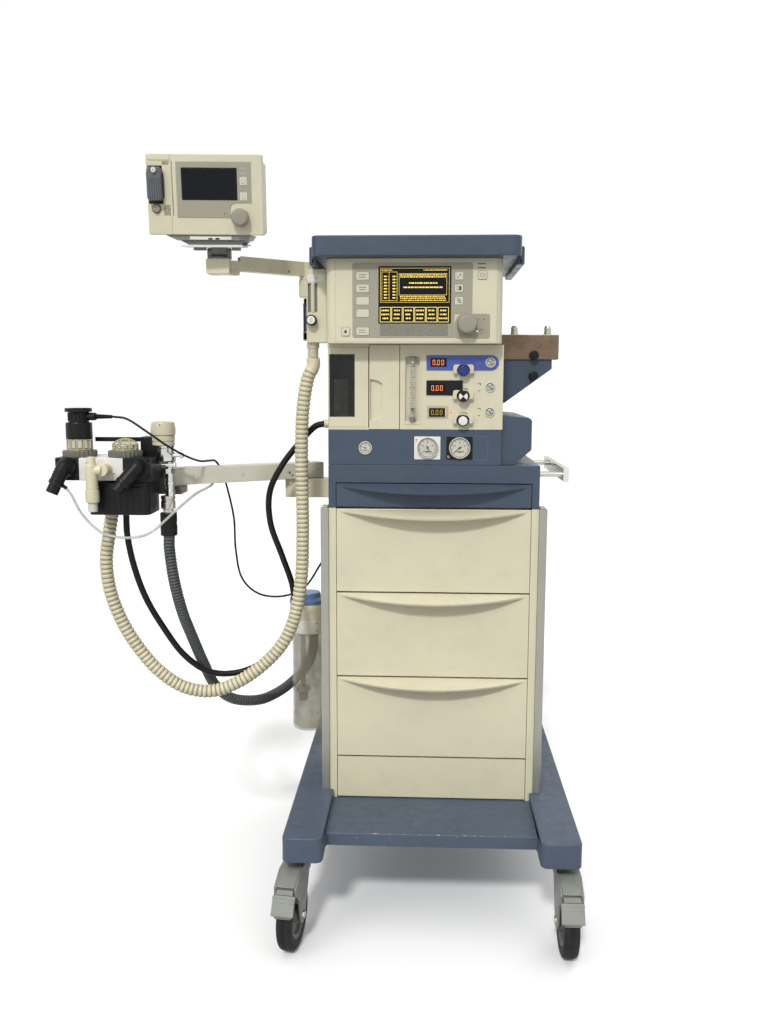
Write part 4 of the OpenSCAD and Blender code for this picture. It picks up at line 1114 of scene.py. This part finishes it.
def make_control_head():
    housing = Piece("control_housing_moulding", "machine", "cream_plastic").use("cream")
    housing.node("control_housing", 2.2, 3)
    housing.use("cream_dark")
    for x in (-181, 111):
        housing.box((x, x + 0.6), (FRONT - 0.12, FRONT + 0.3), (1088, 1232), 0)
    housing.box((-183, 107), (FRONT - 0.12, FRONT + 0.3), (1087.2, 1087.8), 0)
    housing.done("control_housing")

    panel = Piece("control_panel_foil", "machine", "foil").use("foil")
    panel.slab(
        arc(-146, 1099, 4, 180, 270, 4) + [(34, 1095), (34, 1137), (66, 1137)]
        + arc(62, 1223, 4, 0, 90, 4) + arc(-146, 1223, 4, 90, 180, 4),
        (FRONT - 1.0, FRONT), 0.3)
    panel.slab(
        arc(94, 1133, 4, 0, 90, 4) + [(66, 1137)] + arc(57, 1118, 22, 90, 180, 8)
        + [(35, 1100)] + arc(39, 1098, 4, 180, 270, 4) + arc(94, 1098, 4, 270, 360, 4),
        (FRONT - 1.45, FRONT), 0.4)
    make_screen(panel)
    for k in range(6):
        x = -100 + 20.5 * k
        panel.use("key_grey").slab(rounded((x, x + 19.7), (1098.6, 1119), 1.0, 2),
                                   (FRONT - 1.8, FRONT - 0.8), 0.4)
        panel.use("ink").slab([(x + 8.6, 1107), (x + 11.2, 1107), (x + 9.9, 1109)],
                              (FRONT - 1.88, FRONT - 1.7), 0)
    for i, z in enumerate((1197, 1175, 1153, 1131, 1099)):
        foil_key(panel, -143, z, 23, 14)
        if i in (0, 1, 4):
            panel.use("ink")
            for dz in (4.2, 8.4):
                text_row(panel, -138, z + dz, FRONT - 1.86, 13, 1.2)
    foil_key(panel, -170, 1098, 15, 15, icon="bell")
    for z, icon in ((1197, "slash"), (1175, "window"), (1153, "fan")):
        foil_key(panel, 34.5, z, 15, 14, icon=icon)
    foil_key(panel, 76, 1198, 15, 14, icon="ring")
    panel.use("ink")
    for z in (1217, 1224):
        panel.box((75, 89), (FRONT - 0.35, FRONT), (z, z + 1.7), 0.1)
    foil_key(panel, 77, 1100, 12, 12, cap="foil", icon="power")
    panel.use("led_yellow").turned([(1.3, 0), (1.3, 0.3), (0, 0.6)], (75.5, FRONT - 1.5, 1106),
                                   OUT, 14)
    panel.use("ink").turned([(0.9, 0), (0.9, 0.1), (0, 0.1)], (78, FRONT - 1.5, 1128), OUT, 10)
    for a in (60, 105):
        panel.slab(radial(86, 1127, a, 0, 4, 0.25), (FRONT - 1.6, FRONT - 1.4), 0)
    panel.done("control_panel")

    plain("top_shelf_moulding", "top_shelf", "blue_plastic", "blue", 2.4, 3)


# ---- sides ----


def make_sides():
    meter = Piece("oxygen_flowmeter_body", "machine", "cream_plastic").use("cream")
    meter.node("oxygen_flowmeter", 0.9, 2)
    meter.use("white").slab(rounded((-237, -204), (1199, 1212), 1), (11.6, 12.1), 0.2)
    meter.use("key_grey").box((-235.6, -219.4), (16.6, 17.8), (1143.5, 1195.5), 0.1)
    meter.use("ink")
    meter.turned([(2.6, 0), (2.6, 0.15), (2.0, 0.15), (2.0, 0)], (-221, 11.7, 1205.4), OUT, 20)
    for k in range(9):
        z = 1148 + 5.4 * k
        meter.box((-223.2, -219.8 if k % 2 == 0 else -221.2), (16.2, 16.7), (z, z + 0.6), 0)
        meter.box((-235.4, -233.8), (16.2, 16.7), (z, z + 0.6), 0)
    meter.use("blue").box((-247, -239), (20, 44), (1092, 1108), 1.2)
    meter.box((-247, -242.6), (20, 44), (1106, 1160), 1.0)
    meter.box((-246, -239), (20, 44), (1157, 1170), 1.2)
    meter.use("ring").turned([(9.2, 0), (10, 0.6), (10, 17), (9.2, 18)], (-230, 32, 1060))
    meter.done("oxygen_flowmeter")
    sight = Piece("oxygen_flowmeter_tube", "machine", "clear").use("glass")
    sight.turned([(4.1, 1143.5), (4.1, 1195.5)], (-227.5, 15, 0), n=32)
    sight.use("black").turned([(0, -2.4), (1.7, -1.7), (2.4, 0), (1.7, 1.7), (0, 2.4)],
                              (-227.5, 15, 1148))
    sight.done()

    plain("vaporizer_bracket_moulding", "vaporizer_bracket", "blue_plastic", "blue", 1.4, 2)
    bar = Piece("vaporizer_bar_block", "machine", "bar_metal").use("bar_metal")
    bar.box((127, 242), (110, 150), (1059, 1106.5), 1.2)
    bar.use("foil_light").box((127.2, 241.8), (110.4, 149.6), (1105, 1107), 0.4)
    for x in (157, 222):
        bar.use("steel").turned([(9, 0), (9, 1.4), (7, 1.6), (7, 8), (6.4, 8.4), (6.4, 10),
                                 (7, 10.4), (7, 12), (6.6, 14.6), (5, 17.4), (0, 18)],
                                (x, 130, 1107), n=36)
    bar.use("ink")
    for i, z in enumerate((1090, 1086, 1082)):
        for x0, x1 in ((158, 162), (165, 176)):
            bar.box((x0, x1 - i), (109.85, 110.2), (z, z + 0.8), 0)
    bar.turned([(5.4, 0), (5.4, 0.15), (4.8, 0.15), (4.8, 0)], (202, 109.95, 1086), OUT, 28)
    bar.slab(radial(202, 1086, 20, 5.4, 9, 0.3), (109.85, 110.2), 0)
    bar.use("black").turned([(8.8, 0), (9, 0.8), (9, 7.6), (8.2, 9.4), (5, 10), (0, 10)],
                            (194, 110, 1067), OUT, 40)
    bar.turned([(8.9, -5), (8.9, 0.8), (8.9, 8), (7.9, 9.4), (5, 10), (0, 10)],
               (194, 108.5, 1027), OUT, 40)
    bar.done("vaporizer_bar")

    rail = Piece("equipment_rail_bar", "machine", "steel").use("steel")
    rail.box((245, 255), (20, 322), (828.5, 853.5), 1.0)
    for y in (40, 300):
        rail.rod((199, y, 841), (246, y, 841), 5, 0.4)
        rail.rod((199, y, 841), (203, y, 841), 9, 0.8)
        rail.screw((254.6, y, 841), (1, 0, 0), 4.4)
    rail.use("white").box((244.9, 255.1), (19.6, 22), (828.3, 853.7), 0.8)
    rail.done("equipment_rail")

    brackets = Piece("arm_bracket_castings", "machine", "cream_paint").use("cream_paint")
    brackets.node("arm_brackets", 1.4, 2)
    brackets.use("steel")
    for z in (790, 812):
        brackets.screw((-289, 128, z), OUT, 2.8)
    brackets.done("arm_brackets")


def make_scavenger():
    x, y, _ = JAR_AT
    jar = Piece("scavenger_jar_wall", "machine", "smoky").use("smoky")
    jar.turned([(0, 272), (32, 272), (35.5, 274), (37, 278), (37, 478), (36.2, 480), (37, 482),
                (37, 486), (34, 486), (34, 280), (31, 276.4), (0, 276)], JAR_AT, n=64)
    jar.done("scavenger_jar")
    head = Piece("scavenger_head_moulding", "machine", "cream_plastic").use("cream")
    head.turned([(0, 486), (40, 486), (41.2, 487), (41.2, 519), (42, 520), (42, 546), (41, 549),
                 (24, 552), (0, 552)], JAR_AT, n=64)
    head.use("key_white").turned([(41.4, 490), (41.8, 490.6), (41.8, 516), (41.4, 516.6)],
                                 JAR_AT, n=64)
    head.use("label_blue").turned([(41.9, 549.5), (42, 551), (41.6, 556.4), (40, 558), (24, 560.5),
                                   (24, 568), (22.6, 570), (0, 570)], JAR_AT, n=64)
    head.use("cream").box((x + 24, -199), (y - 22, y + 22), (500, 550), 1.5)
    head.use("steel")
    for a in (-100, -62, -140):
        d = Vector((math.cos(math.radians(a)), math.sin(math.radians(a)), 0))
        for z in (495, 510):
            head.screw((x + 41.4 * d.x, y + 41.4 * d.y, z), d, 2.2)
    head.use("ring").rod((x - 14, y, 350), (x - 14, y, 487), 5, 0.5)
    head.use("foil").turned([(0, 330), (9, 330), (10, 331), (10, 350), (9, 351), (0, 351)],
                            (x - 14, y, 0))
    head.use("white").turned([(5, 0), (14, 0), (14.6, 1), (14.6, 8), (14, 9), (5, 9)],
                             (x - 14, y, 352))
    head.use("cream").turned([(0, 486), (11, 486), (12, 487), (12, 525), (11, 526), (0, 526)],
                             (x, y + 64, 0))
    head.box((x - 8, x + 8), (y + 30, y + 60), (505, 521), 0.8)
    head.done("scavenger_head")


# ---- monitor ----


def arm_screws(arm, pivot, end, places, out, z, r):
    """Screws in the side of an arm, at distances from its pivot."""
    pivot = Vector(pivot)
    d = (Vector(end[:2]) - pivot).normalized()
    side = Vector((-d.y, d.x, 0))
    arm.use("steel")
    for t in places:
        p = pivot + d * t + side.xy * out
        arm.screw((p.x, p.y, z), side, r)


def make_monitor():
    face = MONITOR_FACE
    at = (Matrix.Translation(MONITOR_TILT_AT) @ Matrix.Rotation(math.radians(4), 4, "Z")
          @ Matrix.Rotation(math.radians(7), 4, "X"))
    case = Piece("monitor_case_moulding", "monitor_case", "cream_plastic", at).use("cream")
    case.slab(rounded((-108, 83), (31, 158), 8), (face + 20, 36), 2.5)
    for x, z in (((-111, -70), (141, 161)), ((-111, -70), (29, 80)), ((-70.6, 86), (29, 161))):
        case.box(x, (face, face + 22), z, 2.0)
    case.box((-84, -66), (face, face + 20), (60, 150), 0.6)
    # painted shade: darker back wall of the bay that holds the water trap
    case.use("cream_dark").box((-111, -70), (face + 20, face + 24), (79, 142), 0.4)
    case.slab([(-108, 152), (-70, 152), (-72, 149), (-106, 149)], (face - 0.15, face + 1), 0.1)
    case.use("cream")
    case.box((-110.5, -108.9), (face + 2, face + 22), (80, 141), 0.4)
    case.use("foil").slab(
        [(-60, 58), (30, 58), (30, 72)] + arc(40, 72, 10, 180, 90, 6)[1:]
        + [(66, 82), (66, 148), (-60, 148)], (face - 1, face), 0.3)
    case.use("cream_dark")
    for x, z in (((-61, 67), (148, 148.9)), ((-61, -60), (57.4, 148.4)),
                 ((66, 66.9), (81.5, 148.4)), ((-61, 30), (57.2, 58))):
        case.box(x, (face - 0.5, face), z, 0)
    case.use("black").slab(rounded((-52, 43), (86, 139), 1.5), (face - 1.2, face - 0.7), 0.2)
    case.use("screen").slab(rounded((-50, 41), (88, 137), 0.8), (face - 1.5, face - 0.8), 0.2)
    for z in (111, 86):
        case.use("key_white").slab(rounded((47.5, 59.5), (z, z + 13), 1.2, 3),
                                   (face - 1.7, face - 0.8), 0.35)
        case.use("foil").turned([(3.6, 0), (3.6, 0.1), (2.8, 0.1), (2.8, 0)],
                                (53.5, face - 1.68, z + 7), OUT, 20)
        case.box((50, 57), (face - 1.8, face - 1.6), (z + 1.8, z + 2.7), 0)
    case.use("print_light")
    for z in (138, 130):
        case.box((48, 59), (face - 1.1, face - 0.9), (z, z + 1.1), 0)
    case.use("ink")
    case.turned([(1.2, 0), (1.2, 0.1), (0, 0.1)], (20, face - 1.0, 64), OUT, 12)
    # mounting plates under the case
    case.use("caster").slab([(-84, 29), (-64, 20), (58, 20), (64, 29)], (face + 4, 30), 0.6)
    case.slab([(-60, 20), (-44, 12), (44, 12), (54, 20)], (face + 10, 26), 0.6)
    case.use("white").box((-42, 30), (face + 2.5, face + 6), (21, 26.5), 0.6)
    case.use("black")
    for x in (-10, 2):
        case.box((x, x + 7), (face + 1.9, face + 3), (21.5, 24), 0.1)
    case.use("white").box((-58, 48), (face + 6, 28), (8.7, 12.6), 0.8)
    case.use("caster").box((-46, 54), (face + 22, 24), (12, 14), 0.5)
    for x in ((-44, -23.5), (23.5, 38)):
        case.box(x, (-14, 10), (3.4, 9), 0.9)
    case.box((-13.7, 13.7), (-8, 8), (0, 14), 0.8)
    case.rod((-13.7, 0, 0), (13.7, 0, 0), 8, 0.5)
    # release button of the trap
    case.use("key_grey").turned([(8.4, -0.5), (8.4, 0.5), (7.6, 1.0), (6.8, 0.6)], (-96, face, 72),
                                OUT, 36)
    case.use("knob_grey").turned([(6.5, 0), (6.5, 3.6), (5.8, 4.8), (4.6, 5.0), (0, 4.2)],
                                 (-96, face, 72), OUT, 36)
    case.done("monitor_case")

    trap = Piece("water_trap_cartridge", "water_trap", "caster_grey", at).use("trap")
    trap.slab(rounded((-109, -83), (84, 139), 6), (face - 10, face + 28), 2.0)
    trap.slab(rounded((-108.4, -84), (84.6, 128), 5), (face - 15.5, face - 8), 2.2)
    trap.slab(arc(-96, 127, 12.6, 0, 180, 14) + [(-108.4, 122), (-84, 122)],
              (face - 15, face - 4), 1.8)
    for k in range(5):
        x = -105 + 3.9 * k
        trap.slab(rounded((x, x + 2.2), (88, 121), 1, 3), (face - 16.6, face - 15), 0.4)
    trap.use("black").box((-83.2, -81.6), (face - 6, face + 10), (90, 130), 0.5)
    trap.use("white").turned([(4.4, 0), (4.4, 2.6), (3.4, 5), (1.8, 5.2), (1.4, 3), (0, 3)],
                             (-95, face - 15.4, 133), OUT, 28)
    trap.done("water_trap")

    knob = Piece("monitor_knob_grip", "monitor_knob", "knob_grey", at).use("knob_grey")
    knob.turned([(0, 0), (14.6, 0), (15, 0.8), (14.9, 12.5), (14.2, 15.6), (12.6, 17.4), (10, 17.9),
                 (0, 17.4)], (47, face - 0.5, 58), OUT, 96, (32, 0.1, 1, 13))
    knob.rod((47, face, 58), (47, face + 3.7, 58), 3, 0.2)
    knob.use("foil").turned([(3.8, 0), (3.4, 0.3), (2.6, 0.1), (0, 0.05)],
                            (45, face - 18.2, 67), OUT, 24)
    knob.done("monitor_knob")

    # no bevel: it would fold the faces where the arm runs into its end block
    arm = Piece("monitor_arm_profile", "monitor_arm", "aluminium").use("cream_paint")
    arm.node("monitor_arm", 0)
    arm_screws(arm, (-246, 82), MONITOR_TILT_AT, (48, 88, 128), 9, 1221, 2.4)
    arm.done("monitor_arm")
    Piece("monitor_swivel_yoke", "monitor_swivel", "steel").use("caster").node(
        "monitor_swivel", 0.8, 2
    ).done("monitor_swivel")


# ---- breathing system ----


def make_breathing_arm():
    arm = Piece("breathing_arm_casting", "breathing_arm", "aluminium").use("arm_paint")
    arm.node("breathing_arm", 1.8, 3)
    pivot = (-264, 148)
    arm_screws(arm, pivot, (-495, 0), (40, 140, 236), 15, 834, 3.0)
    arm.use("black").turned([(11, 852), (11, 853), (10.2, 853.8), (0, 853.8)], (*pivot, 0))
    arm.done("breathing_arm")


def make_block():
    block = Piece("breathing_block_body", "breathing_arm", "white_plastic").use("white")
    front = BLOCK_FRONT
    block.box((-638, -557), (front, -12), (838, 879), 2.2)
    block.box((-620, -560), (-34, 4), (824, 878), 1.5)
    block.turned([(5.4, 0), (5.2, 0.9), (3.6, 1.1), (3.4, 0.1), (0, 0.1)], (-573, front, 849),
                 OUT, 28)
    block.use("steel").screw((-573, front - 0.2, 849), OUT, 2.8)
    block.screw((-624, front, 871), OUT, 2.0)
    block.use("black")
    block.box((-681, -637), (front, -40), (838, 879), 2.0)
    block.box((-558, -508), (front, -20), (835, 879), 2.0)
    block.box((-540, -508), (-56, -16), (878, 914), 1.4)
    block.box((-626, -538), (-50, -45), (905, 913), 0.6)
    for x in (-669, -520):
        block.turned([(3.6, 0), (3.4, 1.4), (2.2, 1.8), (2.0, 0.6), (0, 0.6)], (x, front, 872.5),
                     OUT, 20)
    block.use("ring").box((-524, -474), (-22, 24), (804, 819.6), 2)
    block.box((-524, -506), (-22, 24), (818, 875), 2)
    block.use("steel").screw((-515, -22.2, 865), OUT, 3)
    port = (-610, -20, 0)
    block.use("black").turned([(12, 790), (12, 838)], port)
    block.turned([(9, 790), (12, 790.2)], port)
    block.turned([(12.6, 806), (13.6, 807), (13.6, 812), (12.6, 813)], port)
    block.turned([(4.5, 790), (7, 790.2), (7, 826)], (-586, -8, 0))
    block.done("breathing_block")

    domes = Piece("valve_dome_rings", "breathing_arm", "clear").use("ring")
    for (x, y, _), h in ((SENSOR_AT, 20), (DOME_AT, 10)):
        at = (x, y, 879)
        domes.use("ring").turned([(27, 0), (29.4, 0.2), (29.9, 1.4), (29.9, 10), (28.8, 11.8),
                                  (24.4, 12), (24, 11)], at, n=144, flutes=(24, 0.9, 0.1, 11.9))
        domes.use("black").turned([(24, 1), (23.2, 1), (23.2, 4), (20, 4.4), (0, 4.4)], at)
        domes.use("white").turned([(15, 4.4), (15, 5.4), (13, 5.6), (13, 4.4)], at)
        domes.use("cage")
        for k in range(12):
            p = around(x, y, 22.2, 30 * k + 8)
            domes.rod((*p, 883), (*p, 889 + h), 1.5, 0.4, 8)
        domes.turned([(20.6, 10.5 + h), (23.3, 10.5 + h), (23.6, 11.2 + h), (23.2, 12 + h),
                      (20.8, 12 + h), (20.4, 11.2 + h), (20.6, 10.5 + h)], at)
        domes.turned([(20.6, 12.4), (23.3, 12.4), (23.7, 13.2), (23.3, 14.2), (20.8, 14.2)], at)
    x, y, _ = DOME_AT
    for a in (20, 80, 140):
        path = []
        for k in range(13):
            e = math.radians(-47 + 94 * k / 12)
            path.append(Vector((*around(x, y, 31.6 * math.sin(e), a), 877.8 + 34.2 * math.cos(e))))
        domes.swept(path, [1.4] * len(path), 8)
    domes.turned([(0, 34.6), (6, 34.4), (7, 33.2), (6, 32), (0, 32)], (x, y, 877.5))
    domes.done("valve_domes")
    skins = Piece("valve_dome_glasses", "breathing_arm", "clear").use("dome")
    skins.turned([(21.6, 891), (21.6, 911)], SENSOR_AT, n=48)
    cap = [(31.2 * math.sin(math.radians(e)), 31.2 * math.cos(math.radians(e)) + 0.6)
           for e in (44, 40, 35, 30, 24, 18, 12, 6, 0)]
    skins.turned([(21.6, 10), (21.6, 22), *cap], (x, y, 879), n=48)
    skins.done()

    sensor = Piece("oxygen_sensor_body", "breathing_arm", "black_plastic").use("black")
    sensor.turned([(0, 911), (21.6, 911), (23.4, 912.4), (23.4, 939), (22.2, 941), (18.4, 941.6),
                   (18, 942.4), (18, 958.6), (19.5, 960), (23.2, 960.2), (24, 961), (24, 965.8),
                   (23, 967), (16, 967), (15.4, 966.2), (0, 966.2)], SENSOR_AT, n=64)
    x, y, _ = SENSOR_AT
    for k in range(16):
        p = around(x, y, 18.3, 22.5 * k)
        sensor.rod((*p, 944), (*p, 958), 0.9, 0.2, 8)
    a, b = Vector((x, y, 952)), Vector((-612, -82, 952))
    sensor.rod(a, b, 7, 1)
    c = Vector((-578, -90, 952))
    d = (c - b).normalized()
    profile = []
    for k in range(9):
        profile += [(4.5 - 0.16 * k, 3.8 * k), (4.5 - 0.16 * k, 3.8 * k + 2.2),
                    (3.3 - 0.1 * k, 3.8 * k + 2.5), (3.3 - 0.1 * k, 3.8 * k + 3.5)]
    sensor.turned([*profile, (0, 34.9)], b, d, 20)
    sensor.done("oxygen_sensor")


def make_elbows():
    elbows = Piece("hose_elbow_fittings", "breathing_arm", "black_plastic").use("black")
    elbows.turned([(17.6, -1), (18, 0), (18, 4), (16.8, 6), (16, 12.5), (14.6, 14), (0, 14.6)],
                  (-659, BLOCK_FRONT, 862), OUT, 56)
    elbows.turned([(21.8, -1), (22, 0), (22, 3.5), (20.4, 5.4), (17, 6), (16, 8), (0, 8)],
                  (-528, BLOCK_FRONT, 862), OUT, 56)
    for start, end, sleeve in (((-659, -124, 864), (-678, -136, 818), 12.5),
                               ((-528, -121, 864), (-561, -142, 822), 13)):
        a, b = Vector(start), Vector(end)
        n = (b - a).length
        lip = n - 16
        ball = [(sleeve * math.sin(math.radians(t)), -sleeve * math.cos(math.radians(t)))
                for t in (0, 20, 40, 60, 80)]
        elbows.turned([*ball, (sleeve, 0), (sleeve, lip - 8), (sleeve + 1, lip - 7),
                       (sleeve + 1, lip - 1), (sleeve, lip), (11.2, lip), (11, lip + 0.6),
                       (11, n - 1), (10.4, n), (8.4, n), (7.6, n - 1), (7.5, n - 24), (0, n - 24)],
                      a, b - a, 56)
        for k in range(3):
            elbows.turned([(sleeve + 0.1, 8 + 5 * k), (sleeve + 0.7, 8.5 + 5 * k),
                           (sleeve + 0.7, 10 + 5 * k), (sleeve + 0.1, 10.5 + 5 * k)], a, b - a, 56)
    a, b = Vector((-661.5, -130, 832.5)), Vector((-653, -129, 826))
    n = (b - a).length
    elbows.turned([(3.2, 0), (3.2, n), (2.4, n + 0.3)], a, b - a, 16)

    elbows.use("hose_cream")
    elbows.turned([(12, -1), (12, 2), (11, 3), (11, 18), (11.6, 19), (11.6, 24), (10, 26),
                   (0, 26.5)], (-588, BLOCK_FRONT, 859), OUT, 48)
    elbows.rod((-588, -131, 859), (-606, -132, 859), 9, 2)
    drop = (-606, -132, 0)
    elbows.turned([(0, 785), (7.2, 785), (8.5, 786.2)], drop, n=48)
    elbows.turned([(10.2, 808), (10.5, 809), (10.5, 826), (11.2, 827), (11.2, 830), (10.5, 831),
                   (10.5, 866), (9.6, 868.4), (7.6, 869), (7.4, 881), (6.2, 883), (0, 883)],
                  drop, n=48)
    elbows.turned([(9, 802), (11.4, 802.2), (12, 803), (12, 823), (11.4, 824), (10, 824)], drop,
                  n=48)
    elbows.use("key_white").turned([(8.5, 785.8), (8.5, 803)], drop, n=48)
    elbows.turned([(7.2, 785), (6.6, 786), (6.6, 796), (0, 796)], drop, n=48)
    elbows.done("hose_elbows")


def make_relief():
    x, y, _ = RELIEF_AT
    valve = Piece("relief_valve_body", "breathing_arm", "chrome").use("ring")
    valve.turned([(12.4, 866), (13, 867), (13, 880), (12.2, 881), (12.2, 886), (13, 887),
                  (13, 898)], RELIEF_AT, n=48)
    valve.use("apl").turned([(13, 898), (19.6, 898), (21, 899.4), (21, 903.4), (20, 904), (20, 906),
                             (21, 906.6), (21, 916), (20, 917), (4.1, 917), (4.1, 905)],
                            RELIEF_AT, n=64)
    for k in range(20):
        p = around(x, y, 20.4, 18 * k)
        valve.rod((*p, 907), (*p, 915), 0.75, 0.2, 8)
    valve.use("chrome").turned([(12.6, 869), (15.6, 870), (16.4, 872), (16.4, 884), (15, 887),
                                (15, 893), (16, 894), (16, 898), (12.8, 899)], (x + 4, y, 0), n=56)
    for x0, x1, front, z, r, soft in (
        (-484, -462, 4, 880, 3.4, 0.8), (-468, -462, 4, 880, 5.2, 1.2),
        (-512, -476, 8, 862, 4.2, 1.0), (-514, -509, 8, 862, 5.6, 1.0),
        (-480, -475, 8, 862, 5.6, 1.0),
    ):
        valve.rod((x0, y - front, z), (x1, y - front, z), r, soft)
    stem = (-489, y - 3, 0)
    valve.turned([(7.5, 800), (7.5, 868)], stem, n=28)
    valve.turned([(7.4, 806), (10.4, 806.6), (10.4, 815), (7.4, 816)], stem, n=8)
    valve.turned([(7.4, 846), (10, 846.4), (10, 855), (7.4, 855.4)], stem, n=6)
    valve.turned([(7.4, 826), (9.4, 826.4), (9.4, 831), (7.4, 831.4)], stem, n=28)
    valve.use("ring").box((-508, -484), (-46, -20), (866, 876), 1.2)
    valve.use("steel").turned([(10, 804), (13.2, 804), (13.5, 803), (13.5, 799), (12.6, 798),
                               (12.6, 795), (13.5, 794), (13.5, 781), (10, 780), (10, 771)],
                              (x + 6, y, 0), n=48)
    valve.use("hose_black").turned([(10, 773), (14.6, 773), (15.5, 771.6), (15.5, 756), (14.9, 755),
                                    (14.9, 751), (15.5, 750), (15.5, 732), (14.6, 730), (11.5, 730),
                                    (11.2, 732), (0, 732)], (x + 6, y, 0), n=48)
    valve.done("relief_valve")

    knob = Piece("relief_knob_cap", "relief_knob", "cream_plastic").use("apl")
    knob.turned([(4, 906), (4, 917.3), (21.6, 917.3), (22.4, 918.2), (22.4, 931.6), (21.4, 933),
                 (21.2, 938.6), (20, 940.4), (17.5, 941), (10, 940.6), (0, 940.4)], RELIEF_AT,
                n=160, flutes=(40, 0.13, 918.1, 931.7))
    knob.use("ink").turned([(17.2, 940.98), (17.2, 941.12), (15.8, 941.1), (15.8, 940.9)],
                           RELIEF_AT, n=64)
    knob.slab([(x - 0.8, 934.4), (x + 0.8, 934.4), (x + 0.8, 938), (x - 0.8, 938)],
              (y - 21.55, y - 21.1), 0)
    knob.done("relief_knob")

    absorber = Piece("absorber_canister_body", "absorber_canister", "black_plastic").use("absorber")
    absorber.prism(rounded((-622, -511), (-110, -36), 10), (776, 828), 2.2)
    absorber.prism(rounded((-620, -513), (-108, -38), 9), (826, 834.7), 1.0)
    absorber.prism(rounded((-622.3, -510.7), (-110.3, -35.7), 10), (821.5, 823.3), 0.3)
    for k in range(9):
        cx = -612 + 11.3 * k
        absorber.box((cx, cx + 4.6), (-110.9, -109), (782, 815), 0.7)
    absorber.done("absorber_canister")


def make_machine():
    make_base()
    for name in CASTERS:
        make_caster(name)
    make_pedal("left_brake_pedal", "front_left")
    make_pedal("right_brake_pedal", "front_right")
    make_cabinet()
    make_back_panels()
    make_gauges()
    make_flow_controls()
    make_knobs()
    make_ventilator()
    make_control_head()
    make_sides()
    make_monitor()
    make_breathing_arm()
    make_block()
    make_elbows()
    make_relief()
    make_scavenger()


make_materials()
make_camera()
make_hoses()
make_machine()
make_stage()
